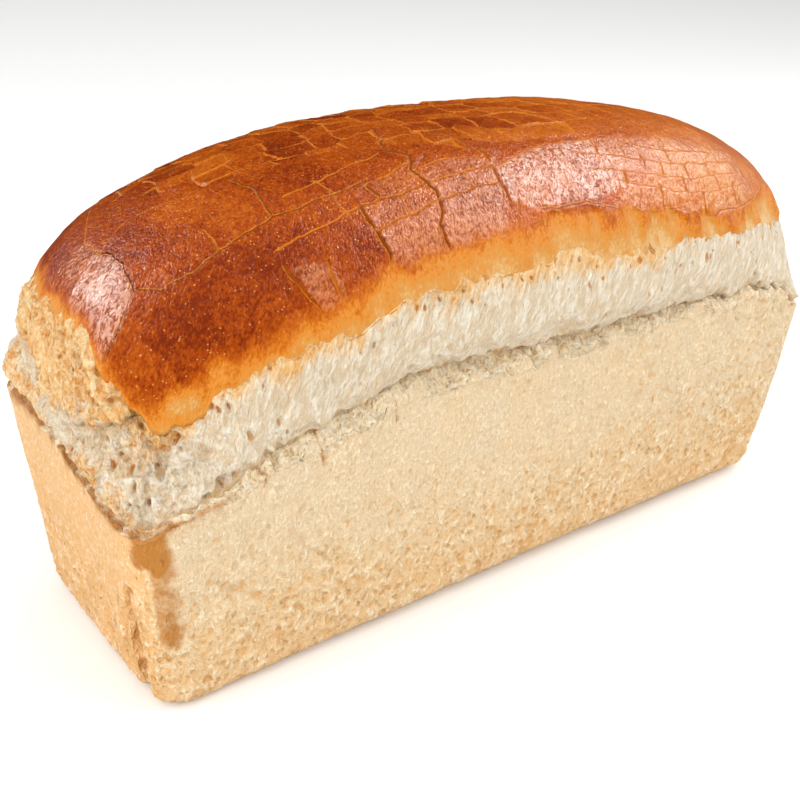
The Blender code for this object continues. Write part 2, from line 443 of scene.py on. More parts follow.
    def fold(self, place: np.ndarray, height: np.ndarray) -> np.ndarray:
        """Return how deep the folds at the tin's lower corners cut in.

        Args:
            place: Places around the loaf.
            height: Heights above the base.

        Returns:
            Depths.
        """
        depth = np.zeros_like(place)
        for corner, low, high, top in self.folds:
            share = height / (top * MM)
            gap = self.from_corner(place, corner) - (low + (high - low) * share) * MM
            depth += self.fold_depth * bell(gap, self.fold_width) * ease((1.15 - share) * 3.0)
        return depth

    def wall(self, columns: Columns, rim: np.ndarray, height: np.ndarray,
             inset: np.ndarray) -> np.ndarray:
        """Place points on the wall, or on its straight way up past the rim.

        Args:
            columns: The points' columns.
            rim: Height of the rim there.
            height: Heights above the base.
            inset: How far the points lie inside the wall.

        Returns:
            The points.
        """
        share = np.minimum(height / rim, 1.0)[:, None]
        plan = mix(columns.foot, columns.brim, share)
        plan = plan - columns.out * (inset + self.fold(columns.place, height))[:, None]
        return np.column_stack([plan, height])

    def inside(self, points: np.ndarray) -> np.ndarray:
        """Tell whether points are inside the dome.

        Args:
            points: The points.

        Returns:
            True for those inside.
        """
        rise = (points[:, 2] - self.shoulder_height) / (self.crest_height - self.shoulder_height)
        rise = unit(rise)
        left = np.maximum(1.0 - rise ** self.close_upward, TINY)
        half_x = self.dome_half_length * left ** (1.0 / self.close_lengthwise)
        half_y = self.dome_half_width * left ** (1.0 / self.close_across)
        power = mix(self.plan_square, self.plan_round, rise)
        value = np.abs(points[:, 0] / half_x) ** power + np.abs(points[:, 1] / half_y) ** power
        return (value < 1.0) & (rise < 1.0)

    def crust(self, unrolled: np.ndarray) -> np.ndarray:
        """Place points of the unrolled crust on the dome.

        Args:
            unrolled: Points in millimetres: along the crest line, and down from it with the
                front side negative.

        Returns:
            The points.
        """
        core = np.clip(unrolled[:, 0] * MM, -self.core_half, self.core_half)
        level = np.column_stack([unrolled[:, 0] - core / MM, unrolled[:, 1]])
        drop = np.linalg.norm(level, axis=1)
        level /= np.maximum(drop, TINY)[:, None]
        angle = np.radians(drop)
        ray = np.column_stack([level * np.sin(angle)[:, None], np.cos(angle)])
        start = np.column_stack([core, np.zeros_like(core), np.full_like(core, self.core_height)])
        near = np.zeros_like(core)
        far = np.full_like(core, self.half_width * 2.0)
        for _ in range(self.halvings):
            middle = (near + far) / 2.0
            within = self.inside(start + ray * middle[:, None])
            near = np.where(within, middle, near)
            far = np.where(within, far, middle)
        return start + ray * near[:, None]

    def unrolled(self, columns: Columns, drop: np.ndarray) -> np.ndarray:
        """Give the unrolled place of columns.

        Args:
            columns: The columns.
            drop: How far down from the crest, in millimetres.

        Returns:
            Points of the unrolled crust, in millimetres.
        """
        spots = columns.out * drop[:, None]
        spots[:, 0] += columns.core / MM
        return spots

    def held(self, points: np.ndarray) -> np.ndarray:
        """Ease points that come close to the sides of the solid's box back inside it.

        Args:
            points: The points.

        Returns:
            The eased points.
        """
        room = np.array(self.limits) - np.abs(points)
        eased = np.where(room < self.knee, self.knee * np.exp(room / self.knee - 1.0), room)
        return np.sign(points) * (np.array(self.limits) - eased)

    def rim(self, columns: Columns) -> np.ndarray:
        """Draw the ragged upper edge of the wall.

        Args:
            columns: The columns.

        Returns:
            Its heights there.
        """
        grain = Grain(5)
        spots = grounded(columns.brim)
        ragged = 0.9 * grain.wave(spots, 9 * MM) + 0.7 * grain.wave(spots, 3.5 * MM, 1)
        ragged += 0.45 * grain.wave(spots, 1.6 * MM, 2)
        ragged *= 1.0 + 1.1 * bell(columns.place - 0.9, 0.1)
        return (around(self.rim_heights, columns.place) + ragged) * MM

    def crust_edge(self, columns: Columns) -> np.ndarray:
        """Draw the ragged lower edge of the crust.

        Args:
            columns: The columns.

        Returns:
            How far below the crest it is there, in millimetres.
        """
        grain = Grain(7)
        spots = grounded(columns.brim)
        ragged = 1.6 * grain.wave(spots, 12 * MM) + 1.2 * grain.wave(spots, 4 * MM, 1)
        ragged += 0.9 * grain.wave(spots, 1.9 * MM, 2)
        return around(self.crust_drops, columns.place) + ragged


@dataclass
class Lattice:
    """Edit-mode steps shared by the blocks that pieces are shaped from."""

    name: str
    rows: int

    def _named(self) -> bpy.types.Object:
        """Name the object that was just added, and start to edit it.

        Returns:
            The object.
        """
        block = bpy.context.active_object
        block.name = self.name
        block.data.name = self.name
        bpy.ops.object.mode_set(mode="EDIT")
        return block

    @staticmethod
    def _select(block: bpy.types.Object, kind: Part,
                wanted: Callable[[bmesh.types.BMEdge | bmesh.types.BMFace], bool]) -> None:
        """Select those edges or faces of the block that pass a test, and nothing else.

        Args:
            block: The block, in edit mode.
            kind: Which kind is selected.
            wanted: The test.
        """
        bpy.ops.mesh.select_mode(type=kind.name)
        bpy.ops.mesh.select_all(action="DESELECT")
        cage = bmesh.from_edit_mesh(block.data)
        for part in getattr(cage, kind.value):
            part.select_set(wanted(part))
        bmesh.update_edit_mesh(block.data)

    def _cut(self, block: bpy.types.Object, axis: Axis, count: int) -> None:
        """Cut every edge that runs along one axis into equal parts.

        Args:
            block: The block, in edit mode.
            axis: The axis.
            count: Number of parts.
        """
        others = [other.value for other in Axis if other is not axis]
        self._select(block, Part.EDGE, lambda edge: sum(
            abs(edge.verts[0].co[side] - edge.verts[1].co[side]) for side in others) < NEARLY)
        bpy.ops.mesh.subdivide(number_cuts=count - 1, quadcorner="INNERVERT")

    def _close(self, block: bpy.types.Object, level: float) -> None:
        """Fill an open end of the block with one flat face.

        Args:
            block: The block, in edit mode.
            level: Height of that end.
        """
        self._select(block, Part.EDGE, lambda edge: edge.is_boundary
                     and abs(edge.verts[0].co.z - level) < NEARLY)
        bpy.ops.mesh.edge_face_add()

    def _row(self, lattice: np.ndarray) -> np.ndarray:
        """Return the row of each point of a block that is 2 high, counted up from its foot."""
        return np.rint((lattice[:, 2] + 1.0) / 2.0 * self.rows)

    @staticmethod
    def _finish(block: bpy.types.Object) -> bpy.types.Object:
        """Turn the faces outward and leave edit mode.

        Args:
            block: The block, in edit mode.

        Returns:
            The block.
        """
        bpy.ops.mesh.select_all(action="SELECT")
        bpy.ops.mesh.normals_make_consistent(inside=False)
        bpy.ops.object.mode_set(mode="OBJECT")
        bpy.ops.object.shade_smooth()
        return block


@dataclass
class Barrel(Lattice):
    """A closed ring of upright edges, cut into rows.

    The shown sides get more of its columns than the others.
    """

    sides: tuple[int, int, int, int] = (520, 110, 165, 240)

    def build(self) -> bpy.types.Object:
        """Add a cylinder and cut it.

        Returns:
            The barrel, 2 high, around the origin.
        """
        bpy.ops.object.select_all(action="DESELECT")
        bpy.ops.mesh.primitive_cylinder_add(vertices=sum(self.sides), radius=1.0, depth=2.0,
                                            end_fill_type="NOTHING", location=(0.0, 0.0, 0.0))
        barrel = self._named()
        self._cut(barrel, Axis.UP, self.rows)
        self._close(barrel, -1.0)
        self._close(barrel, 1.0)
        return self._finish(barrel)

    def read(self, barrel: bpy.types.Object) -> tuple[np.ndarray, np.ndarray]:
        """Find where the barrel's vertices belong.

        Args:
            barrel: The barrel.

        Returns:
            The place around the loaf and the row of each vertex.
        """
        lattice = read_points(barrel)
        turn = np.mod(np.arctan2(lattice[:, 1], lattice[:, 0]), 2.0 * math.pi)
        count = sum(self.sides)
        index = np.mod(np.rint(turn / (2.0 * math.pi) * count), count)
        place = np.interp(index, np.cumsum((0, *self.sides)), np.arange(5))
        return place, self._row(lattice)


@dataclass
class Dome(Lattice):
    """A block whose top and sides are one fine grid.

    More of the cells across lie in front of the crest than behind it.
    """

    long_cells: tuple[int, int] = (84, 5)
    across_cells: tuple[int, int] = (75, 2)
    front_cells: int = 104

    def build(self) -> bpy.types.Object:
        """Add a cube, open it below and cut it.

        Returns:
            The block, 2 by 2 by 2, around the origin.
        """
        bpy.ops.object.select_all(action="DESELECT")
        bpy.ops.mesh.primitive_cube_add(size=2.0, location=(0.0, 0.0, 0.0))
        block = self._named()
        self._select(block, Part.FACE, lambda face: face.calc_center_median().z < -0.5)
        bpy.ops.mesh.delete(type="ONLY_FACE")
        for axis, counts in ((Axis.LONG, self.long_cells), (Axis.ACROSS, self.across_cells),
                             (Axis.UP, (self.rows,))):
            for count in counts:
                self._cut(block, axis, count)
        self._close(block, -1.0)
        return self._finish(block)

    def read(self, block: bpy.types.Object) -> tuple[np.ndarray, np.ndarray]:
        """Find where the block's vertices belong.

        Args:
            block: The block.

        Returns:
            Each vertex's spot on the block seen from above, and its row.
        """
        lattice = read_points(block)
        total = self.across_cells[0] * self.across_cells[1]
        crest = 2.0 * self.front_cells / total - 1.0
        across = np.interp(lattice[:, 1], (-1.0, crest, 1.0), (-1.0, 0.0, 1.0))
        return np.column_stack([lattice[:, 0], across]), self._row(lattice)


def read_points(piece: bpy.types.Object) -> np.ndarray:
    """Read the places of a piece's vertices.

    Args:
        piece: The piece.

    Returns:
        The places, one in each row.
    """
    points = np.zeros(len(piece.data.vertices) * 3)
    piece.data.vertices.foreach_get("co", points)
    return points.reshape(-1, 3)


def read_normals(piece: bpy.types.Object) -> np.ndarray:
    """Read the normals of a piece's vertices.

    Args:
        piece: The piece.

    Returns:
        The normals, one in each row.
    """
    normals = np.zeros(len(piece.data.vertices) * 3, np.float32)
    piece.data.vertex_normals.foreach_get("vector", normals)
    return normals.reshape(-1, 3).astype(float)


def write_points(piece: bpy.types.Object, points: np.ndarray) -> None:
    """Move a piece's vertices.

    Args:
        piece: The piece.
        points: Their new places, one in each row.
    """
    piece.data.vertices.foreach_set("co", points.ravel())
    piece.data.update()


def write_attributes(piece: bpy.types.Object, **values: np.ndarray) -> None:
    """Store values on each vertex, for the piece's material.

    Args:
        piece: The piece.
        **values: One value for each vertex, by the attribute's name.
    """
    for name, numbers in values.items():
        attribute = piece.data.attributes.new(name, "FLOAT", "POINT")
        attribute.data.foreach_set("value", numbers.astype(np.float32))


@dataclass
class Shader:
    """A material's nodes, added one after another."""

    name: str
    material: bpy.types.Material = field(init=False)

    def __post_init__(self) -> None:
        """Start the material with its Principled shader."""
        self.material = bpy.data.materials.new(self.name)
        self.material.use_nodes = True
        self.principled = self.material.node_tree.nodes["Principled BSDF"]
        self.place = self.node("ShaderNodeTexCoord").outputs["Object"]

    def node(self, kind: str, **settings: object) -> bpy.types.Node:
        """Add a node.

        Args:
            kind: Its type.
            **settings: Its properties.

        Returns:
            The node.
        """
        made = self.material.node_tree.nodes.new(kind)
        for key, value in settings.items():
            setattr(made, key, value)
        return made

    def feed(self, socket: bpy.types.NodeSocket, value: object) -> None:
        """Set a socket, or link another to it.

        Args:
            socket: The input.
            value: A number, a colour or an output.
        """
        if isinstance(value, bpy.types.NodeSocket):
            self.material.node_tree.links.new(value, socket)
        elif isinstance(value, tuple) and len(value) == 3 and socket.type == "RGBA":
            socket.default_value = (*value, 1.0)
        else:
            socket.default_value = value

    def attribute(self, name: str) -> bpy.types.NodeSocket:
        """Return a value stored on the piece's vertices."""
        return self.node("ShaderNodeAttribute", attribute_name=name).outputs["Fac"]

    def stretched(self, scale: Colour, turn: Colour = (0.0, 0.0, 0.0)) -> bpy.types.NodeSocket:
        """Return object coordinates, turned and then stretched.

        Args:
            scale: Scale along each axis.
            turn: Rotation about each axis, in degrees.

        Returns:
            The coordinates.
        """
        turned = self.node("ShaderNodeMapping")
        self.feed(turned.inputs["Vector"], self.place)
        turned.inputs["Rotation"].default_value = tuple(math.radians(angle) for angle in turn)
        scaled = self.node("ShaderNodeMapping")
        self.feed(scaled.inputs["Vector"], turned.outputs["Vector"])
        scaled.inputs["Scale"].default_value = scale
        return scaled.outputs["Vector"]

    def noise(self, size: float, detail: float = 3.0, roughness: float = 0.55,
              distortion: float = 0.0, at: bpy.types.NodeSocket | None = None
              ) -> bpy.types.NodeSocket:
        """Return soft noise from 0 to 1.

        Args:
            size: Size of its waves in metres.
            detail: How many finer waves ride on them.
            roughness: How strong those are.
            distortion: How far the waves are bent.
            at: Coordinates to read at.

        Returns:
            The noise.
        """
        texture = self.node("ShaderNodeTexNoise")
        self.feed(texture.inputs["Vector"], at or self.place)
        for key, value in (("Scale", 1.0 / size), ("Detail", detail), ("Roughness", roughness),
                           ("Distortion", distortion)):
            texture.inputs[key].default_value = value
        return texture.outputs["Fac"]

    def cells(self, size: float, at: bpy.types.NodeSocket | None = None
              ) -> bpy.types.NodeSocket:
        """Return distances to the nearest of scattered points, in cells.

        Args:
            size: Mean distance between the points in metres.
            at: Coordinates to read at.

        Returns:
            The distances.
        """
        texture = self.node("ShaderNodeTexVoronoi")
        self.feed(texture.inputs["Vector"], at or self.place)
        texture.inputs["Scale"].default_value = 1.0 / size
        return texture.outputs["Distance"]

    def spread(self, value: object, low: float, high: float, to_low: float = 0.0,
               to_high: float = 1.0) -> bpy.types.NodeSocket:
        """Return a value with one range stretched over another, clamped and eased.

        Args:
            value: The value.
            low: Start of its range.
            high: End of its range.
            to_low: What the start becomes.
            to_high: What the end becomes.

        Returns:
            The stretched value.
        """
        ranged = self.node("ShaderNodeMapRange", interpolation_type="SMOOTHSTEP")
        for key, number in (("Value", value), ("From Min", low), ("From Max", high),
                            ("To Min", to_low), ("To Max", to_high)):
            self.feed(ranged.inputs[key], number)
        return ranged.outputs["Result"]

    def fall(self, value: object, low: float, high: float) -> bpy.types.NodeSocket:
        """Return 1 where a value is below a range and 0 above it, eased between."""
        return self.spread(value, low, high, 1.0, 0.0)

    def maths(self, operation: str, first: object, *others: object) -> bpy.types.NodeSocket:
        """Return the result of one operation on two or more values, taken in order.

        Args:
            operation: Which operation.
            first: The first value.
            *others: The other values.

        Returns:
            The result.
        """
        result = first
        for other in others or (0.0,):
            step = self.node("ShaderNodeMath", operation=operation)
            self.feed(step.inputs[0], result)
            self.feed(step.inputs[1], other)
            result = step.outputs[0]
        return result

    def add(self, first: object, *others: object) -> bpy.types.NodeSocket:
        """Return the sum of two or more values."""
        return self.maths("ADD", first, *others)

    def times(self, first: object, *others: object) -> bpy.types.NodeSocket:
        """Return the product of two or more values."""
        return self.maths("MULTIPLY", first, *others)

    def swing(self, value: bpy.types.NodeSocket, reach: float) -> bpy.types.NodeSocket:
        """Return noise moved from 0 to 1 onto a range around 0.

        Args:
            value: The noise.
            reach: Width of the range.

        Returns:
            The moved noise.
        """
        return self.times(self.maths("SUBTRACT", value, 0.5), reach)

    def ramp(self, value: bpy.types.NodeSocket, stops: tuple[tuple[float, Colour], ...]
             ) -> bpy.types.NodeSocket:
        """Return a colour that runs through stops.

        Args:
            value: Where along the stops.
            stops: Positions and colours.

        Returns:
            The colour.
        """
        ramp = self.node("ShaderNodeValToRGB")
        self.feed(ramp.inputs["Fac"], value)
        elements = ramp.color_ramp.elements
        for index, (position, colour) in enumerate(stops):
            element = elements[index] if index < 2 else elements.new(position)
            element.position = position
            element.color = (*colour, 1.0)
        return ramp.outputs["Color"]

    def blend(self, share: object, first: object, second: object) -> bpy.types.NodeSocket:
        """Return a blend of two colours.

        Args:
            share: How much of the second.
            first: The first colour.
            second: The second colour.

        Returns:
            The blended colour.
        """
        blend = self.node("ShaderNodeMix", data_type="RGBA")
        self.feed(blend.inputs["Factor"], share)
        self.feed(blend.inputs[6], first)
        self.feed(blend.inputs[7], second)
        return blend.outputs[2]

    def bump(self, heights: tuple[tuple[bpy.types.NodeSocket, float], ...]) -> None:
        """Give the surface fine relief.

        Args:
            heights: Height patterns and how high each stands in metres, the broadest first.
        """
        below = None
        for height, distance in heights:
            bump = self.node("ShaderNodeBump")
            bump.inputs["Strength"].default_value = 1.0
            bump.inputs["Distance"].default_value = distance
            self.feed(bump.inputs["Height"], height)
            if below is not None:
                self.feed(bump.inputs["Normal"], below)
            below = bump.outputs["Normal"]
        self.feed(self.principled.inputs["Normal"], below)

    def finish(self, colour: object, roughness: object, **constants: object
               ) -> bpy.types.Material:
        """Set the shader's colour, roughness and constants.

        Args:
            colour: Base colour.
            roughness: Roughness.
            **constants: Values of other sockets, with underscores for spaces.

        Returns:
            The finished material.
        """
        self.feed(self.principled.inputs["Base Color"], colour)
        self.feed(self.principled.inputs["Roughness"], roughness)
        for key, value in constants.items():
            self.principled.inputs[key.replace("_", " ")].default_value = value
        return self.material


@dataclass(frozen=True)
class CrustFinish:
    """Egg-brown glazed crust that fades to gold and straw towards its lower edge."""

    straw: Colour = (0.61, 0.38, 0.155)
    gold: Colour = (0.55, 0.25, 0.055)
    orange: Colour = (0.58, 0.20, 0.022)
    amber: Colour = (0.46, 0.110, 0.005)
    chestnut: Colour = (0.32, 0.050, 0.001)
    umber: Colour = (0.16, 0.016, 0.0005)
    crack_gold: Colour = (0.62, 0.20, 0.012)
    crack_brown: Colour = (0.58, 0.15, 0.004)
    # Darkest crack colour: the open gap together with painted shadow.
    crack_gap_and_shadow: Colour = (0.075, 0.009, 0.0002)
    speck: Colour = (0.64, 0.30, 0.09)
    # Colour of the painted sheen on some plates.
    bloom: Colour = (0.62, 0.30, 0.155)
    # Colour of the painted white glints.
    frost: Colour = (0.86, 0.72, 0.64)
    speck_size: float = 1.5 * MM
    crinkle_size: float = 1.5 * MM
    crinkle_height: float = 0.36 * MM
    strand_size: float = 0.62 * MM
    strand_height: float = 0.32 * MM
    swell_height: float = 0.15 * MM
    lip_height: float = 0.06 * MM
    straw_roughness: float = 0.75
    glaze_roughness: float = 0.36
    specular: float = 0.06

    def material(self) -> bpy.types.Material:
        """Lay the bake's colours, the specks, the painted sheen and painted white glints of some
        plates and the cracks over each other.

        Returns:
            The crust's material.
        """
        s = Shader("glazed_crust")
        bake = s.attribute("bake")
        glazed = s.attribute("glazed")
        lay = s.stretched((1.0, 0.8, 0.50), (0.0, -18.0, 0.0))
        crinkle = s.noise(self.crinkle_size, 1.5, 0.5, 0.9, lay)
        strands = s.noise(self.strand_size, 1.5, 0.5, 0.5, lay)
        tone = s.add(bake, s.swing(s.noise(13 * MM, 3.0), 0.22),
                     s.swing(s.noise(3.6 * MM, 4.0, 0.65), 0.34),
                     s.swing(s.noise(1.1 * MM, 3.0, 0.7), 0.26),
                     s.swing(crinkle, -0.30), s.swing(strands, -0.50))
        colour = s.ramp(tone, ((0.0, self.straw), (0.22, self.gold), (0.42, self.orange),
                               (0.60, self.amber), (0.80, self.chestnut), (1.0, self.umber)))
        specks = s.times(s.fall(s.cells(self.speck_size), 0.09, 0.20), glazed,
                         s.spread(s.noise(3 * MM, 2.0), 0.36, 0.56))
        colour = s.blend(s.times(specks, 0.8), colour, self.speck)
        grainy = s.add(s.times(crinkle, 0.5), s.times(strands, 0.5))
        # Painted sheen: some plates are coloured paler and pinker where the lamps would shine on
        # them, less so on dark cracks.
        bloom = s.times(s.attribute("bloom"), s.spread(grainy, 0.38, 0.60, 0.16, 1.0))
        clear = s.times(s.attribute("crack_show"), s.fall(s.attribute("crack_near"), 0.35, 1.1),
                        s.attribute("crack_shade"))
        clear = s.spread(clear, 0.0, 0.6, 1.0, 0.25)
        colour = s.blend(s.times(bloom, glazed, clear), colour, self.bloom)
        # Painted highlight: white glints on the ridges of some plates, in patches.
        frost = s.times(s.attribute("frost"), s.spread(grainy, 0.42, 0.57), glazed, clear,
                        s.spread(s.noise(6 * MM, 3.0), 0.38, 0.56, 0.35, 1.0))
        colour = s.blend(frost, colour, self.frost)
        side = s.add(s.attribute("crack_side"), s.swing(s.noise(0.9 * MM, 3.0), 0.30))
        close = s.times(s.fall(s.attribute("crack_near"), 0.9, 1.6), glazed,
                        s.attribute("crack_show"))
        shade = s.attribute("crack_shade")
        ending = s.add(side, s.times(shade, -0.26))
        pale = s.times(s.spread(side, 0.0, 0.10), s.fall(ending, 0.06, 0.34), close,
                       s.spread(s.noise(3 * MM, 2.0), 0.36, 0.56, 0.45, 1.0))
        colour = s.blend(pale, colour, self.crack_gold)
        # The crack's dark line is partly its open gap and partly painted shadow under the raised
        # plate's edge, darkest where its shade is high.
        off = s.add(s.maths("ABSOLUTE", s.add(side, 0.12)), s.times(shade, -0.32))
        core = s.times(s.fall(off, 0.0, 0.18), close, 0.92)
        deep = s.blend(shade, self.crack_brown, self.crack_gap_and_shadow)
        colour = s.blend(core, colour, deep)
        rough = s.add(s.spread(glazed, 0.2, 0.9, self.straw_roughness, self.glaze_roughness),
                      s.spread(s.attribute("bloom"), 0.05, 0.22, 0.0, -0.09),
                      s.swing(s.noise(2.5 * MM, 3.0), 0.16))
        dull = s.attribute("dull")
        rough = s.maths("MAXIMUM", rough, s.times(pale, dull, 0.75), s.times(core, dull, 0.8))
        lip = s.times(s.fall(side, -0.14, 0.10), close)
        calm = s.spread(s.attribute("sleek"), 0.0, 1.0, 1.0, 0.40)
        s.bump(((s.noise(5 * MM, 2.0, 0.5, 0.5), self.swell_height),
                (s.times(crinkle, calm), self.crinkle_height),
                (s.times(strands, calm), self.strand_height), (lip, self.lip_height)))
        return s.finish(colour, rough, Specular_IOR_Level=self.specular)


@dataclass(frozen=True)
class CrumbFinish:
    """Soft torn crumb with drawn-out fibres, toasted where it stood out in the oven."""

    white: Colour = (0.83, 0.76, 0.625)
    cream: Colour = (0.66, 0.53, 0.365)
    # Colour of painted shade.
    shade: Colour = (0.63, 0.41, 0.205)
    straw: Colour = (0.84, 0.63, 0.35)
    toast: Colour = (0.76, 0.42, 0.145)
    brown: Colour = (0.58, 0.22, 0.04)
    fibre_size: float = 2.4 * MM
    thread_size: float = 0.7 * MM
    web_size: float = 2.8 * MM
    relief: float = 1.3 * MM
    thread_height: float = 0.60 * MM
    fluff_height: float = 0.12 * MM
    roughness: float = 0.9
    specular: float = 0.2

    def material(self) -> bpy.types.Material:
        """Lay the toasted parts and painted shade on low places, hollows and holes over the pale
        fibres, which are painted lighter where they stand high.

        Returns:
            The crumb's material.
        """
        s = Shader("torn_crumb")
        slant = s.stretched((1.0, 1.0, 0.30), (0.0, -14.0, 0.0))
        fibres = s.noise(self.fibre_size, 5.0, 0.66, 0.8, slant)
        threads = s.noise(self.thread_size, 3.0, 0.6, 0.3, slant)
        webs = s.noise(self.web_size, 5.0, 0.62, 1.2)
        wild = s.attribute("wild")
        fine = s.add(s.times(fibres, 0.6), s.times(threads, 0.4))
        rough = s.add(s.times(webs, 0.7), s.times(threads, 0.3))
        height = s.add(s.times(fine, s.maths("SUBTRACT", 1.0, wild)), s.times(rough, wild))
        # Painted light and shade: fibres are whiter where the relief stands high and creamier, then
        # shade-coloured, where it lies low.
        pale = s.blend(s.spread(height, 0.44, 0.62, 0.0, 0.95), self.cream, self.white)
        painted_low_shade = s.spread(height, 0.32, 0.50, s.spread(wild, 0.0, 1.0, 0.55, 0.95), 0.0)
        colour = s.blend(painted_low_shade, pale, self.shade)
        # Painted shade where the piece's shaded value is high.
        colour = s.blend(s.attribute("shaded"), colour, self.shade)
        patches = s.add(s.attribute("toast"), s.swing(s.noise(3.2 * MM, 4.0, 0.6), 0.9),
                        s.swing(height, -0.5))
        # Toasted parts run from brown in low places to straw on high ones, partly painted shade.
        toasted = s.ramp(s.add(height, s.swing(webs, 0.5)),
                         ((0.30, self.brown), (0.46, self.toast), (0.64, self.straw)))
        colour = s.blend(s.spread(patches, 0.15, 0.62, 0.0, 0.95), colour, toasted)
        # The insides of holes are painted darker as shade: the shade colour, or brown where
        # toasted.
        holes = s.add(s.attribute("hole"), s.swing(s.noise(1.1 * MM, 3.0), 0.6))
        inside = s.blend(s.spread(patches, -0.3, 0.3), self.shade, self.brown)
        colour = s.blend(s.spread(holes, 0.32, 0.62, 0.0, 0.9), colour, inside)
        s.bump(((height, self.relief), (threads, self.thread_height),
                (s.noise(0.4 * MM, 2.0), self.fluff_height)))
        return s.finish(colour, self.roughness, Specular_IOR_Level=self.specular,
                        Subsurface_Weight=0.15, Subsurface_Radius=(1.0, 0.6, 0.3),
                        Subsurface_Scale=0.8 * MM)


@dataclass(frozen=True)
class WallFinish:
    """Matt tin-baked skin, pale above and more golden towards the base."""

    pale: Colour = (0.675, 0.53, 0.345)
    tan: Colour = (0.74, 0.53, 0.30)
    golden: Colour = (0.77, 0.445, 0.185)
    # Pore colour is partly the skin's own tone and partly painted shade; ridge colour partly its
    # tone and partly painted light.
    pore_and_shade: Colour = (0.71, 0.40, 0.150)
    ridge_and_light: Colour = (0.90, 0.765, 0.54)
    toast: Colour = (0.46, 0.175, 0.022)
    torn: Colour = (0.92, 0.79, 0.56)
    # Colour of painted shade between the torn rim's shreds.
    hollow: Colour = (0.72, 0.45, 0.19)
    shred: Colour = (0.95, 0.86, 0.67)
    grain_size: float = 0.95 * MM
    pit_size: float = 2.5 * MM
    swell_size: float = 4.2 * MM
    relief: float = 1.5 * MM
    dust_height: float = 0.12 * MM
    shred_height: float = 0.9 * MM
    roughness: float = 0.8
    specular: float = 0.25

    def material(self) -> bpy.types.Material:
        """Lay pores and ridges, the torn rim and the toasted corner over the skin's colours, with
        painted shade in low places and in the rim's gaps, and painted light on high places.

        Returns:
            The wall's material.
        """
        s = Shader("tin_walls")
        hollow = s.attribute("hollow")
        torn = s.attribute("torn")
        tone = s.add(s.attribute("bake"), s.swing(s.noise(16 * MM, 4.0), 0.5))
        colour = s.ramp(tone, ((0.0, self.pale), (0.45, self.tan), (1.0, self.golden)))
        lay = s.stretched((1.0, 1.0, 0.65))
        fine = s.noise(self.grain_size, 2.5, 0.55, 0.3, lay)
        coarse = s.attribute("coarse")
        bent = s.add(s.cells(self.pit_size, s.stretched((1.0, 1.0, 0.8))),
                     s.swing(s.noise(1.6 * MM, 2.0), 0.5))
        pits = s.times(s.fall(bent, 0.05, 0.48), coarse,
                       s.spread(s.noise(5 * MM, 3.0), 0.36, 0.56))
        swell = s.swing(s.noise(self.swell_size, 3.0, 0.5, 0.8), s.times(coarse, 1.1))
        height = s.add(fine, s.times(pits, -0.55), swell, s.times(hollow, -0.20))
        # Low places of the relief take the darker pore colour and high ones the paler ridge colour:
        # partly the skin's own tone, partly painted shade and painted light.
        flecks = s.add(height, s.swing(s.noise(0.45 * MM, 1.0), 0.30))
        colour = s.blend(s.fall(flecks, 0.04, 0.46), colour, self.pore_and_shade)
        colour = s.blend(s.spread(flecks, 0.46, 0.78, 0.0, 0.80), colour, self.ridge_and_light)
        # In the torn rim, the gaps between shreds take the hollow colour as painted shade, more of
        # it deeper in the ledge.
        shreds = s.add(s.noise(1.2 * MM, 4.0, 0.62, 0.4, s.stretched((1.0, 1.0, 0.30))),
                       s.times(s.attribute("deep"), -0.05))
        crumb = s.blend(s.fall(shreds, 0.30, 0.50), self.torn, self.hollow)
        crumb = s.blend(s.spread(shreds, 0.52, 0.64, 0.0, 0.9), crumb, self.shred)
        colour = s.blend(torn, colour, crumb)
        toast = s.add(s.attribute("toast"), s.swing(s.noise(5 * MM, 5.0, 0.65), 0.9))
        colour = s.blend(s.spread(toast, 0.30, 1.10, 0.0, 0.95), colour, self.toast)
        s.bump(((height, self.relief), (s.noise(0.5 * MM, 1.0), self.dust_height),
                (s.times(shreds, torn), self.shred_height)))
        return s.finish(colour, self.roughness, Specular_IOR_Level=self.specular)


def adopt(piece: bpy.types.Object, material: bpy.types.Material) -> None:
    """Give a finished piece its material and its place in the frame.

    Args:
        piece: The piece.
        material: Its material.
    """
    piece.data.materials.append(material)
    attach(piece, BODY)
    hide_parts(NODE)


@dataclass(frozen=True)
class Slit:
    """A narrow tear in a wall, in millimetres.

    Its upper and lower ends are places along the side and heights.
    """

    top: tuple[float, float]
    low: tuple[float, float]
    depth: float = 1.1
    width: float = 0.6


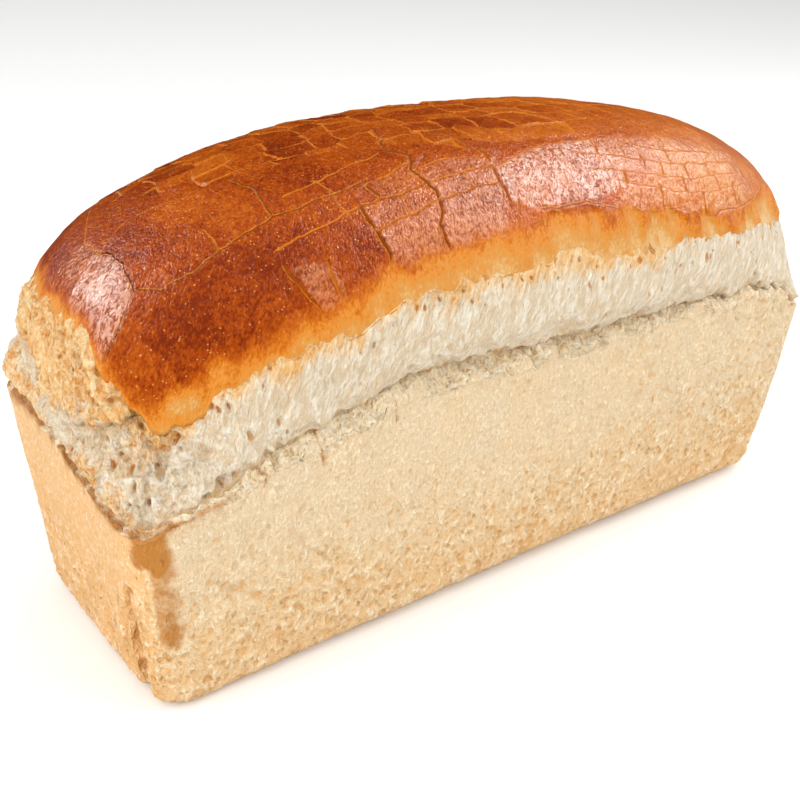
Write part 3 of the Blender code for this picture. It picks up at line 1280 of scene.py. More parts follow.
@dataclass
class TinWalls:
    """Base and walls that the tin shaped, up to the torn ledge behind their rim."""

    form: LoafForm
    heel_rows: int = 8
    wall_rows: int = 66
    ledge_rows: int = 15
    cap_height: float = 54.0 * MM
    cap_inset: float = 16.0 * MM
    ledge_hidden: float = 2.0 * MM
    notch_sag: float = 0.18
    notch_power: float = 0.64
    shred_power: float = 3.2
    corner_pinch: float = 1.6 * MM
    low_reach: float = 72 * MM
    sag_depth: float = 0.35 * MM
    pore_depth: float = 0.65 * MM
    crease_depth: float = 0.55 * MM
    shred_height: float = 0.8 * MM
    bulge_height: float = 78 * MM
    bulge_depth: float = 1.1 * MM
    finish: WallFinish = WallFinish()
    front_slits: tuple[Slit, ...] = (
        Slit((-109, 84), (-104.5, 71)), Slit((-88, 84), (-86, 72)), Slit((-62, 86), (-61, 79)),
        Slit((-117, 42), (-103, 30), 0.8, 1.0), Slit((-96, 52), (-84, 38), 0.6, 0.9),
        Slit((126, 30), (111, 7), 1.2, 1.6),
    )
    end_slits: tuple[Slit, ...] = (
        Slit((-36, 43), (-31, 8), 1.6, 1.4), Slit((-10, 25), (-14, 9), 1.4, 1.2),
        Slit((-28, 30), (-24, 12), 0.9, 1.2),
    )

    def build(self) -> bpy.types.Object:
        """Build the walls.

        Returns:
            The finished piece.
        """
        barrel = Barrel("tin_walls", self.heel_rows + self.wall_rows + self.ledge_rows + 2)
        piece = barrel.build()
        place, row = barrel.read(piece)
        columns = self.form.columns(place)
        write_points(piece, self._shape(columns, row))
        self._sculpt(piece, columns, row)
        adopt(piece, self.finish.material())
        return piece

    def _shape(self, columns: Columns, row: np.ndarray) -> np.ndarray:
        """Lay the barrel's rows on the form.

        Args:
            columns: The vertices' columns.
            row: The vertices' rows, counted up from the base.

        Returns:
            The vertices' places.
        """
        form = self.form
        rim = form.rim(columns)
        heel = around(form.heels, columns.place) * MM
        angle = np.minimum(row / self.heel_rows, 1.0) * math.pi / 2.0
        up_wall = unit((row - self.heel_rows) / self.wall_rows)
        height = heel * (1.0 - np.cos(angle)) + (rim - heel) * up_wall
        inset = heel * form.heel_spread * (1.0 - np.sin(angle))
        past = row - self.heel_rows - self.wall_rows
        ledge = unit(past / self.ledge_rows)
        rise = around(form.crease_rises, columns.place) * MM
        depth = around(form.crease_insets, columns.place) * MM + self.ledge_hidden
        tooth = self._teeth(columns, ledge)
        sag = self.notch_sag * (1.0 - tooth) * np.sin(math.pi * ledge)
        height = height + rise * (ledge - sag)
        inset = inset + depth * ledge ** mix(self.notch_power, self.shred_power, tooth)
        for number, cap_inset, cap_height in ((1, self.cap_inset, rim),
                                              (2, self.cap_inset + 3.0 * MM, self.cap_height)):
            inset = np.where(past == self.ledge_rows + number, cap_inset, inset)
            height = np.where(past == self.ledge_rows + number, cap_height, height)
        inset += self.corner_pinch * bell(columns.place - 1.0, 0.06) * ease(height / rim - 0.55)
        return form.wall(columns, rim, height, inset)

    def _teeth(self, columns: Columns, ledge: np.ndarray) -> np.ndarray:
        """Tell where shreds of the wall stand up on the rim.

        Args:
            columns: The vertices' columns.
            ledge: How far up the ledge each is.

        Returns:
            1 on a shred, 0 between shreds.
        """
        points = grounded(columns.brim)
        points[:, 2] = ledge * 4 * MM
        grain = Grain(27)
        value = grain.wave(points, (3.4 * MM, 3.4 * MM, 7 * MM), 1)
        value += 0.6 * grain.wave(points, (1.6 * MM, 1.6 * MM, 4 * MM), 2)
        value += 0.8 * grain.wave(points, 15 * MM, 3)
        return ease(0.5 + 1.3 * value)

    def _sculpt(self, piece: bpy.types.Object, columns: Columns, row: np.ndarray) -> None:
        """Press pores, tears and shreds into the surface, and store its colouring.

        Args:
            piece: The shaped piece.
            columns: The vertices' columns.
            row: The vertices' rows.
        """
        grain = Grain(21)
        points = read_points(piece)
        normals = read_normals(piece)
        past = row - self.heel_rows - self.wall_rows
        skin = (past <= 0).astype(float)
        low = 1.0 - onset(points[:, 2], 0.0, self.low_reach)
        right = onset(points[:, 0], -30 * MM, 150 * MM)
        end = onset(np.abs(points[:, 0]) - self.form.half_length, -12 * MM, 10 * MM)
        dimple = self._dimples(points, low, right, grain)
        slit = self._slits(points)
        grainy = grain.rough(points, (2.2 * MM, 2.2 * MM, 3.0 * MM), 2, 2)
        bent = grain.warped(points, 14 * MM, 4 * MM, 6)
        folded = grain.wave(bent, (11 * MM, 11 * MM, 5 * MM), 7)
        creased = ease(1.0 - np.abs(folded) / 0.14) * ease(low * 1.6 - 0.35)
        relief = self.sag_depth * (grain.wave(points, 30 * MM, 1) - 1.0)
        relief += (0.24 + 0.18 * low) * MM * grainy - self.pore_depth * dimple
        relief -= self.crease_depth * creased + slit * MM
        relief += self._bulge(columns, points)
        relief *= skin * ease(row / self.heel_rows)
        shreds = self.shred_height * grain.rough(points, (1.9 * MM, 1.9 * MM, 4 * MM), 3, 5)
        relief += np.where((past > 0) & (past <= self.ledge_rows), shreds, 0.0)
        points += normals * relief[:, None]
        points[:, 2] = np.maximum(points[:, 2], 0.0)
        points = self.form.held(points)
        write_points(piece, points)
        hollow = unit(dimple + 0.4 * creased + slit - 0.25 * grainy) * skin
        ledge = unit(past / self.ledge_rows)
        skinned = 0.55 * self.ledge_rows * self._teeth(columns, ledge) ** 2
        torn = (past - 0.5 - skinned) / 1.5 + 0.6 * grain.wave(points, 1.6 * MM, 9)
        torn = unit(np.where(past > 0, torn, 0.0))
        streak = grain.wave(points, (7 * MM, 7 * MM, 60 * MM), 12) * (1.0 - low)
        bake = 0.14 + 0.50 * low ** 1.4 + 0.86 * end + 0.10 * streak
        edged = bell(past - 5.0, 9.0) * onset(-points[:, 0], 104 * MM, 20 * MM)
        edged *= ease(0.72 + 1.3 * grain.wave(points, 3.4 * MM, 14))
        edged += 0.5 * bell(past - 8.0, 9.0) * onset(-points[:, 0], 126 * MM, 10 * MM)
        toast = self._toast(points, columns) * (1.0 - 0.8 * torn)
        # The tears also take the toast colour, as painted shade in them; edged browns the torn rim
        # near the left corner.
        toast = np.maximum(toast, ease(slit - 0.25) * (1.0 - 0.6 * low) + 0.85 * edged)
        coarse = ease(0.15 + 0.95 * low + 0.3 * right)
        # deep tells how far into the torn ledge a place lies, for the painted shade there.
        write_attributes(piece, hollow=hollow, torn=torn, coarse=coarse, deep=ledge * torn,
                         bake=unit(bake), toast=toast)

    @staticmethod
    def _dimples(points: np.ndarray, low: np.ndarray, right: np.ndarray,
                 grain: Grain) -> np.ndarray:
        """Scatter rounded dimples of three sizes, more of them low down and to the right.

        Args:
            points: Places on the wall.
            low: How near the base each is.
            right: How near the right end each is.
            grain: The wall's noise.

        Returns:
            How deep each place lies in a dimple, from 0 to 1.
        """
        bent = grain.warped(points, 6 * MM, 1.2 * MM, 3)
        often = 0.10 + 0.62 * low + 0.22 * right + 0.22 * grain.wave(points, 24 * MM, 4)
        depth = np.zeros(len(points))
        for size, salt, share in ((2.0 * MM, 10, 1.0), (3.1 * MM, 20, 0.8), (7.5 * MM, 30, 0.35)):
            gap, owner = grain.bubbles(bent, (size, size, 1.35 * size), salt)
            radius = 0.38 + 0.22 * owner
            present = ease((often * share - owner * 0.9) * 8.0 + 0.5)
            depth = np.maximum(depth, unit(1.0 - (gap / radius) ** 2) * present)
        return depth

    def _slits(self, points: np.ndarray) -> np.ndarray:
        """Draw the tears in the front wall and the left end.

        Args:
            points: Places on the wall.

        Returns:
            How deep the tears cut in there, in millimetres.
        """
        depth = np.zeros(len(points))
        grain = Grain(23)
        wobble = 0.6 * grain.wave(points, 2 * MM) + 0.3 * grain.wave(points, 1 * MM, 1)
        sway = 2.2 * grain.wave(points, 5 * MM, 2)
        front = (points[:, 1] < -0.8 * self.form.half_width).astype(float)
        end = (points[:, 0] < -0.93 * self.form.half_length).astype(float)
        for slits, axis, shown in ((self.front_slits, 0, front), (self.end_slits, 1, end)):
            spots = np.column_stack([points[:, axis] + sway * MM, points[:, 2]]) / MM
            for slit in slits:
                top = np.array(slit.top)
                along = np.array(slit.low) - top
                share = unit((spots - top) @ along / (along @ along))
                gap = np.linalg.norm(spots - top - share[:, None] * along, axis=1) + 0.5 * wobble
                depth = np.maximum(depth, slit.depth * bell(gap, slit.width) * shown)
        return depth

    def _bulge(self, columns: Columns, points: np.ndarray) -> np.ndarray:
        """Swell the right end at half its height.

        Args:
            columns: The vertices' columns.
            points: Their places.

        Returns:
            How far each stands out.
        """
        turn = np.clip(columns.place - 0.93, 0.0, 1.14) / 1.14
        share = unit(points[:, 2] / self.bulge_height)
        return self.bulge_depth * np.sin(math.pi * turn) ** 0.5 * np.sin(math.pi * share)

    def _toast(self, points: np.ndarray, columns: Columns) -> np.ndarray:
        """Brown the front left corner, most of all under the torn rim.

        Args:
            points: Places on the wall.
            columns: Their columns.

        Returns:
            How toasted each place is, from 0 to 1.6.
        """
        along = self.form.from_corner(columns.place)
        height = points[:, 2]
        ragged = 1.6 * MM * Grain(29).rough(points, 3.5 * MM, 3)
        strip = ease(1.3 - np.abs(along - 1 * MM + ragged) / (10 * MM))
        patch = strip * ease((height - 50 * MM + 2.0 * ragged) / (6 * MM))
        band = 0.78 * ease(1.4 - np.abs(along - 5 * MM + ragged) / (6 * MM))
        band *= onset(height, 22 * MM, 10 * MM)
        spot = 0.45 * bell(np.hypot(along - 5 * MM, height - 27 * MM), 5 * MM)
        return np.clip(np.maximum(1.6 * patch, band) + spot, 0.0, 1.6)


@dataclass
class TornCrumb:
    """White crumb that burst out between the walls and the crust.

    Lips and tier heights are in millimetres: the lips by place around the loaf, and the tier
    heights by place across it.
    """

    form: LoafForm
    rows: int = 86
    hidden_rows: int = 2
    roll_skew: float = 0.55
    lips: Pairs = ((0, 0.5), (0.08, -0.3), (0.5, -0.5), (2.5, -0.5), (3.7, -0.3), (3.9, 0.4))
    tear_centre: tuple[float, float, float] = (-139 * MM, -47 * MM, 84 * MM)
    tear_radius: float = 17 * MM
    tear_depth: float = 4 * MM
    pocket_centre: tuple[float, float, float] = (-141 * MM, -46 * MM, 92.5 * MM)
    pocket_radius: float = 10 * MM
    pocket_depth: float = 9 * MM
    tier_heights: Pairs = ((-60, 101), (-42, 96), (-20, 87), (0, 91), (15, 98), (60, 98))
    tier_reach: float = 8 * MM
    tier_depth: float = 4.5 * MM
    tier_end: float = -124 * MM
    low_cap: float = 50 * MM
    high_cap: float = 124 * MM
    crust_overlap: float = 0.8
    slant: float = 0.25
    finish: CrumbFinish = CrumbFinish()

    def build(self) -> bpy.types.Object:
        """Build the crumb.

        Returns:
            The finished piece.
        """
        barrel = Barrel("torn_crumb", self.rows + 2 * self.hidden_rows)
        piece = barrel.build()
        place, row = barrel.read(piece)
        columns = self.form.columns(place)
        share = (row - self.hidden_rows) / self.rows
        write_points(piece, self._shape(columns, share))
        self._sculpt(piece, share)
        adopt(piece, self.finish.material())
        return piece

    def _shape(self, columns: Columns, share: np.ndarray) -> np.ndarray:
        """Lay the barrel's rows on the form.

        Args:
            columns: The vertices' columns.
            share: How far up from the crease to the crust each vertex is.

        Returns:
            The vertices' places.
        """
        form = self.form
        rim = form.rim(columns)
        inset = around(form.crease_insets, columns.place) * MM
        rise = around(form.crease_rises, columns.place) * MM
        crease = form.wall(columns, rim, rim + rise, inset)
        drop = form.crust_edge(columns) - self.crust_overlap
        edge = form.crust(form.unrolled(columns, drop))
        out = grounded(columns.out)
        within = unit(share)
        lip = around(self.lips, columns.place) * MM
        points = mix(crease, edge - out * lip[:, None], within[:, None])
        arch = np.sin(math.pi * within ** self.roll_skew)
        points += out * (around(form.roll_bulges, columns.place) * MM * arch)[:, None]
        points -= out * self._tear(points)[:, None]
        step = np.rint((share - within) * self.rows)
        low_near = form.wall(columns, rim, rim - 6 * MM, inset + 4 * MM)
        low_far = form.wall(columns, rim, np.full_like(rim, self.low_cap), inset + 9 * MM)
        high_near = edge - out * 4 * MM + np.array([0.0, 0.0, 4 * MM])
        high_far = edge - out * 22 * MM
        high_far[:, 2] = self.high_cap
        for number, places in ((-1, low_near), (-2, low_far), (1, high_near), (2, high_far)):
            points = np.where((step == number)[:, None], places, points)
        return points

    def _tear(self, points: np.ndarray) -> np.ndarray:
        """Cut the torn front left corner, its pocket and the upper tear at the left end.

        Args:
            points: Places on the crumb.

        Returns:
            How deep these cut in there.
        """
        gap = np.linalg.norm(points - np.array(self.tear_centre), axis=1)
        below = self._tier(points)
        cut = self.tier_depth * onset(below, 0.0, 1.6 * MM)
        cut *= np.exp(-np.maximum(below, 0.0) / self.tier_reach)
        front = onset(-points[:, 1], -4 * MM, 30 * MM)
        shown = ease((self.tier_end - points[:, 0]) / (9 * MM)) * (0.45 + 0.55 * front)
        ragged = 1.6 * MM * Grain(36).rough(points, 6 * MM, 3)
        away = np.linalg.norm(points - np.array(self.pocket_centre), axis=1) + ragged
        pocket = self.pocket_depth * ease((self.pocket_radius - away) / (3 * MM))
        return self.tear_depth * bell(gap, self.tear_radius) + cut * shown + pocket

    def _tier(self, points: np.ndarray) -> np.ndarray:
        """Draw the ragged lip of the upper tear at the left end.

        Args:
            points: Places on the crumb.

        Returns:
            How far below the lip each place lies.
        """
        grain = Grain(35)
        ragged = 3.0 * MM * grain.wave(points, 15 * MM) + 1.6 * MM * grain.wave(points, 5 * MM, 1)
        heights = np.array(self.tier_heights, float) * MM
        lip = np.interp(points[:, 1], heights[:, 0], heights[:, 1])
        return lip + ragged + 0.8 * MM * grain.wave(points, 2.2 * MM, 2) - points[:, 2]

    def _sculpt(self, piece: bpy.types.Object, share: np.ndarray) -> None:
        """Tear fibres, holes and shreds into the surface, and store its colouring.

        Args:
            piece: The shaped piece.
            share: How far up from the crease to the crust each vertex is.
        """
        grain = Grain(33)
        points = read_points(piece)
        normals = read_normals(piece)
        shown = ((share >= 0.0) & (share <= 1.0)).astype(float)
        inner = ease(share / 0.05) * (0.35 + 0.65 * ease((1.0 - share) / 0.04))
        slanted = points.copy()
        slanted[:, 0] += self.slant * points[:, 2]
        slanted = grain.warped(slanted, 8 * MM, 1.8 * MM, 2)
        corner = bell(np.linalg.norm(points - np.array(self.tear_centre), axis=1), 25 * MM)
        end = onset(-points[:, 0], 122 * MM, 16 * MM)
        ragged_low = bell(share - 0.03, 0.16) * (1.0 - 0.5 * end)
        ragged_low *= 1.0 + 0.9 * onset(points[:, 0], 85 * MM, 30 * MM)
        ragged_low *= 1.0 - 0.9 * onset(points[:, 0], 130 * MM, 8 * MM)
        wild = unit(1.15 * corner + 0.75 * end + 0.55 * ragged_low)
        upper = ease((share - 0.60 + 0.12 * grain.wave(points, 16 * MM, 9)) / 0.30)
        fibres = grain.rough(slanted, (2.0 * MM, 2.0 * MM, 9 * MM), 2, 1)
        webs = 1.0 - 2.0 * np.abs(grain.rough(slanted, (5 * MM, 5 * MM, 7 * MM), 3, 6))
        lumps = grain.rough(points, 10 * MM, 2, 8)
        right = onset(points[:, 0], 20 * MM, 50 * MM)
        often = 0.05 + 0.34 * wild + 0.52 * upper + 0.35 * right * bell(share - 0.86, 0.12)
        hole = self._holes(slanted, grain, often)
        relief = (0.25 + 0.35 * wild) * fibres + (0.5 + 1.2 * wild) * lumps
        relief += 3.0 * wild * (webs - 0.4) - (1.0 + 1.2 * wild) * hole
        relief *= MM * shown * inner
        points = self.form.held(points + normals * relief[:, None])
        write_points(piece, points)
        below = self._tier(points)
        roll = ease(-below / (3.0 * MM) + 0.5)
        golden = 0.40 * upper * (1.0 - 0.85 * right) + (0.45 + 0.30 * upper) * end * roll
        golden += 0.30 * bell(share, 0.05)
        crown = 0.25 * bell(1.0 - share, 0.05 + 0.05 * (1.0 - right))
        golden += crown + (0.30 + 0.25 * end) * grain.wave(points, 9 * MM, 7)
        golden += 0.25 * end
        under = end * bell(below - 3.0 * MM, 2.6 * MM)
        sunk = ease(-0.9 * lumps - 0.7 * webs * wild + 0.25 * wild)
        away = np.linalg.norm(points - np.array(self.pocket_centre), axis=1)
        pocket = bell(away, 1.1 * self.pocket_radius) * (1.0 - roll)
        # Painted shade: darker in the pocket, in sunk places of the wild crumb, along the crease
        # and under the tier's lip.
        shaded = 0.8 * pocket + 0.75 * sunk * wild + 0.4 * bell(share, 0.10) + 0.6 * under
        write_attributes(piece, toast=unit(golden), hole=hole, shaded=unit(shaded), wild=wild)

    @staticmethod
    def _holes(points: np.ndarray, grain: Grain, often: np.ndarray) -> np.ndarray:
        """Scatter drawn-out holes of two sizes.

        Args:
            points: Slanted places on the crumb.
            grain: The crumb's noise.
            often: How many of the holes are there, from 0 to 1.

        Returns:
            How deep each place lies in a hole, from 0 to 1.
        """
        depth = np.zeros(len(points))
        for size, salt in ((2.6 * MM, 40), (4.4 * MM, 50)):
            gap, owner = grain.bubbles(points, (size, size, 1.9 * size), salt)
            present = ease((often - owner) * 8.0 + 0.5)
            depth = np.maximum(depth, ease(1.0 - gap / 0.42) * present)
        return depth


@dataclass(frozen=True)
class Crack:
    """One crack in the crust.

    Its route is drawn on the unrolled crust, in millimetres. Walking along it, the plate on the
    right curls up by step, and the pale crumb below the glaze shows on the left. Its shade is how
    deep and dark it is, up to 1.
    """

    route: Pairs
    shade: float = 0.5
    step: float = 0.4


@dataclass(frozen=True)
class PaintedSheenPlate:
    """A glossier plate of the crust, coloured with painted sheen.

    Its outline is drawn on the unrolled crust, in millimetres. Up to 1 each, strength is how much
    painted sheen it gets and how much glossier it is, the next value how much painted white glint
    its ridges get, and sleek how smooth it is.
    """

    outline: Pairs
    strength: float
    frost: float = 0.0
    sleek: float = 0.0

    def read(self, spots: np.ndarray) -> np.ndarray:
        """Tell which spots lie inside its outline.

        Args:
            spots: Unrolled places in millimetres.

        Returns:
            1 for those inside, 0 for the others.
        """
        inside = np.zeros(len(spots), bool)
        route = np.array(self.outline + self.outline[:1], float)
        u, v = spots[:, 0], spots[:, 1]
        for (u0, v0), (u1, v1) in zip(route, route[1:]):
            crossed = (v0 > v) != (v1 > v)
            inside ^= crossed & (u < u0 + (v - v0) * (u1 - u0) / (v1 - v0 + TINY))
        return inside.astype(float)


@dataclass(frozen=True)
class Brickwork:
    """Uneven rows of plates that the glaze split into over the crest.

    Sizes are those of one plate, and the front is where the plates begin on the unrolled crust,
    all in millimetres.
    """

    length: float = 12.0
    height: float = 8.5
    front: Pairs = ((-175, 60), (-128, 30), (-114, 2), (-104, -8), (-96, -13), (-50, -15),
                    (-22, -29), (40, -29), (150, -20))

    def read(self, spots: np.ndarray, grain: Grain) -> dict[str, np.ndarray]:
        """Find where spots lie in their plates.

        Args:
            spots: Unrolled places in millimetres.
            grain: The crust's noise.

        Returns:
            The distance to the plate's nearest side, that distance with a sign, how much the
            crack there shows, its shade, and the height and bake that the plate adds.
        """
        flat = grounded(spots)
        up = spots[:, 1] / self.height + 0.50 * grain.wave(flat, 30.0, 60)
        up += 0.28 * grain.wave(flat, 12.0, 61)
        row = np.floor(up).astype(np.int64)
        zeros = np.zeros_like(row)
        shift = grain.hashed(np.column_stack([row, zeros, zeros]), 62)
        along = spots[:, 0] / self.length + shift + 0.45 * grain.wave(flat + 50.0, 15.0, 63)
        column = np.floor(along).astype(np.int64)
        plate = np.column_stack([row, column, zeros])
        share_up, share_along = up - row, along - column
        upward = np.column_stack([share_up, share_up - 1.0]) * self.height
        sideways = np.column_stack([share_along, share_along - 1.0]) * self.length
        gaps = np.column_stack([upward, sideways])
        nearest = np.argmin(np.abs(gaps), axis=1)
        side = np.take_along_axis(gaps, nearest[:, None], axis=1)[:, 0]
        side = np.where(nearest >= 2, -side, side)
        beyond = plate.copy()
        beyond[:, 0] += (nearest == 1)
        beyond[:, 1] += (nearest == 3)
        show = ease((grain.hashed(beyond * 2 + (nearest >= 2)[:, None], 64) - 0.02) * 5.0)
        tilt_up = (grain.hashed(plate, 65) - 0.5) * 0.16 * (share_up - 0.5) * self.height
        tilt_along = (grain.hashed(plate, 66) - 0.9) * 0.06 * (share_along - 0.5) * self.length
        bake = (grain.hashed(plate, 67) - 0.5) * 0.27
        edge = np.interp(spots[:, 0], [u for u, _ in self.front], [v for _, v in self.front])
        here = ease((spots[:, 1] - edge) / 2.0 + 0.5)
        patchy = ease(0.95 + 0.8 * grain.wave(flat, 34.0, 68) - spots[:, 0] / 95.0)
        show = show * here * np.clip(patchy, 0.30, 1.0)
        return {"gap": np.abs(side), "side": side, "show": show, "shade": 0.25 * show,
                "lift": (tilt_up + tilt_along) * here * patchy, "bake": bake * here * patchy}


@dataclass
class GlazedCrust:
    """Domed crust, its glaze split into plates.

    Sizes are in millimetres, as the unrolled crust is. Vertices within snap of a crack are pulled
    onto it, and where no crack is near, the gap to it is given as nowhere. Plates curl up along
    a crack, and the crack cuts a groove, both most of all where it is dark.
    """

    form: LoafForm
    flank_rows: int = 27
    hidden_rows: int = 3
    top_drop: float = 50.0
    snap: float = 0.26
    nowhere: float = 99.0
    curl_height: float = 0.14
    curl_reach: float = 2.0
    groove_depth: float = 0.25
    groove_width: float = 0.45
    step_reach: float = 7.0
    band_least: float = 3.0
    crack_reach: float = 3.0
    glaze_drops: Pairs = ((0, 91), (0.053, 89.5), (0.083, 81), (0.139, 72), (0.17, 67), (0.2, 65),
                          (0.225, 63), (0.272, 58), (0.34, 57), (0.41, 56), (0.5, 54), (0.57, 55),
                          (0.67, 59), (0.776, 63), (0.85, 61), (0.93, 59), (1, 62), (1.5, 60),
                          (2, 66), (2.5, 58), (3, 68), (3.3, 63), (3.5, 63.5), (3.67, 66),
                          (3.81, 77), (3.93, 87))
    bricks: Brickwork = Brickwork()
    # Plates with painted sheen that are also glossier, some with painted white glints on their
    # ridges.
    painted_sheen_plates: tuple[PaintedSheenPlate, ...] = (
        PaintedSheenPlate(((-158, -40), (-147, -38), (-139, -33), (-137, -21), (-138, -14), (-141, -5),
               (-148, -8), (-158, -12), (-162, -22), (-163, -32)), 0.40, 0.26, 1.0),
        PaintedSheenPlate(((-140, -7), (-140, 5), (-153, 8), (-151, -8)), 0.25),
        PaintedSheenPlate(((-66, -59), (-67, -48), (-54, -46), (-44, -44), (-48, -51), (-47, -57)), 0.42),
        PaintedSheenPlate(((-67, -48), (-68, -40), (-45, -38), (-44, -44), (-54, -46)), 0.22),
        PaintedSheenPlate(((-47, -57), (-48, -51), (-44, -44), (-31, -43), (-22, -42), (-22, -48),
               (-27, -57)), 0.42, 0.06),
        PaintedSheenPlate(((-44, -44), (-45, -38), (-30, -37), (-20, -37), (-22, -42), (-31, -43)), 0.40),
        PaintedSheenPlate(((-45, -38), (-44, -32), (-33, -31), (-21, -33), (-20, -37)), 0.28),
        PaintedSheenPlate(((-61, -40), (-63, -34), (-47, -31), (-45, -38)), 0.20),
        PaintedSheenPlate(((-20, -38), (-6, -34), (4, -32), (22, -32), (26, -38), (26, -50), (8, -52),
               (-14, -51), (-22, -48)), 0.24, 0.40),
        PaintedSheenPlate(((22, -32), (60, -34), (95, -40), (101, -56), (84, -62), (50, -59), (18, -55),
               (26, -50), (26, -38)), 0.38, 0.10),
        PaintedSheenPlate(((-93, -52), (-88, -65), (-80, -64), (-83, -53)), 0.34),
    )
    finish: CrustFinish = CrustFinish()

    def cracks(self) -> list[Crack]:
        """Draw the main cracks of the crust's front.

        Returns:
            The cracks, of which later ones give way where they meet earlier ones.
        """
        front = [
            Crack(((-158, -40), (-147, -38), (-139, -33), (-137, -21), (-138, -14), (-141, -5)),
                  0.9, 0.7),
            Crack(((-161, -20), (-158, -12), (-148, -8), (-139, -8)), 0.2, 0.3),
            Crack(((-140, -7), (-140, 5), (-127, 25)), 0.4, 0.3),
            Crack(((-139, -8), (-128, -3), (-118, -7), (-104, -13)), 0.5, 0.3),
            Crack(((-137, -34), (-132, -39), (-121, -41), (-106, -39), (-91, -36), (-80, -35),
                   (-63, -33)), 0.8, 0.6),
            Crack(((-91, -36), (-91, -31), (-90, -22), (-93, -14)), 0.8, 0.3),
            Crack(((-66, -59), (-67, -52), (-68, -46), (-68, -40)), 0.8, 0.9),
            Crack(((-95, -46), (-80, -43), (-67, -40)), 0.2, 0.3),
            Crack(((-67, -40), (-56, -40), (-44, -38)), 0.5, 0.4),
            Crack(((-61, -40), (-63, -34)), 0.8, 0.4),
            Crack(((-47, -57), (-48, -51), (-44, -44), (-45, -38), (-47, -33), (-43, -27),
                   (-47, -22), (-46, -17), (-40, -6)), 0.8, 0.7),
            Crack(((-67, -48), (-54, -46), (-44, -44), (-31, -43), (-22, -42)), 0.45, 0.5),
            Crack(((-88, -66), (-90, -62), (-94, -54), (-95, -51)), 0.7, 0.6),
            Crack(((-79, -75), (-81, -67), (-83, -60), (-83, -53)), 0.4, 0.5),
            Crack(((-63, -34), (-52, -32), (-45, -29)), 0.3, 0.3),
            Crack(((-85, -30), (-72, -27), (-62, -25), (-50, -22)), 0.3, 0.3),
            Crack(((-74, -27), (-72, -34)), 0.3, 0.3),
            Crack(((-43, -38), (-30, -37), (-20, -37)), 0.3, 0.4),
            Crack(((-44, -32), (-33, -31), (-22, -33)), 0.3, 0.3),
            Crack(((-22, -48), (-22, -41), (-20, -32), (-22, -27), (-27, -18), (-25, -10)),
                  0.7, 0.6),
            Crack(((-27, -57), (-22, -55), (-19, -49)), 0.4, 0.4),
            Crack(((22, -32), (4, -32), (-6, -34), (-20, -38)), 0.3, -0.15),
            Crack(((39, -32), (37, -35), (44, -37), (62, -40), (82, -40)), 0.35, 0.4),
            Crack(((14, -37), (29, -40), (49, -44), (70, -45), (92, -44)), 0.35, 0.45),
            Crack(((16, -43), (28, -45), (46, -48), (62, -50), (88, -49)), 0.35, 0.45),
            Crack(((24, -48), (36, -50), (52, -54), (73, -55), (98, -53)), 0.35, 0.45),
            Crack(((-12, -52), (6, -52), (18, -55), (29, -57), (50, -59), (67, -63), (73, -61),
                   (84, -62), (101, -58)), 0.6, 0.9),
        ]
        uprights = ((23, -34, -38), (40, -41, -45), (47, -45, -48), (56, -49, -54), (60, -45, -50),
                    (64, -54, -62), (28, -45, -49), (42, -51, -58), (84, -41, -45), (55, -37, -43),
                    (85, -53, -61), (34, -38, -41), (73, -45, -49), (76, -49, -55), (95, -44, -49),
                    (-32, -43, -37), (-55, -46, -40), (-110, -40, -30), (-72, -43, -35))
        return front + [Crack(((u - 1, low), (u, top)), 0.5, 0.4) for u, top, low in uprights]

    def build(self) -> bpy.types.Object:
        """Build the crust.

        Returns:
            The finished piece.
        """
        dome = Dome("glazed_crust", self.flank_rows + self.hidden_rows)
        piece = dome.build()
        spots, row = dome.read(piece)
        row -= self.hidden_rows
        columns, fall = self._grid(spots)
        edge = self.form.crust_edge(columns)
        side = np.max(np.abs(spots), axis=1) > 0.9999
        up_flank = unit(row / self.flank_rows)
        drop = np.where(side, mix(edge, self.top_drop, up_flank), self.top_drop * fall)
        unrolled = self.form.unrolled(columns, drop)
        unrolled, near = self._settle(unrolled)
        points = self.form.crust(unrolled)
        points = self._tuck(points, columns, np.where(side, row, 0.0))
        write_points(piece, points)
        self._sculpt(piece, columns, unrolled, edge - drop, near, row)
        adopt(piece, self.finish.material())
        return piece

    def _grid(self, lattice: np.ndarray) -> tuple[Columns, np.ndarray]:
        """Find the column that each vertex of the block lies below the crest on.

        Args:
            lattice: The vertices' spots on the block.

        Returns:
            The columns, and how far from the crest to the top face's edge each vertex is.
        """
        form = self.form
        spots = lattice * np.array([form.half_length, form.half_width])
        core = np.clip(spots[:, 0], -form.core_half, form.core_half)
        level = spots - np.column_stack([core, np.zeros_like(core)])
        fall = np.max(np.abs(level), axis=1) / form.half_width
        middle = fall < 1e-6
        level[middle] = (0.0, -form.half_width)
        edge = level / np.where(middle, 1.0, fall)[:, None]
        edge[:, 0] += core
        a, b = edge[:, 0] / form.half_length, edge[:, 1] / form.half_width
        limit = 1.0 - TINY
        place = np.select([b <= -limit, a >= limit, b >= limit],
                          [(a + 1.0) / 2.0, 1.0 + (b + 1.0) / 2.0, 2.0 + (1.0 - a) / 2.0],
                          3.0 + (1.0 - b) / 2.0)
        return form.columns(np.clip(place, 0.0, CORNERS - TINY)), fall

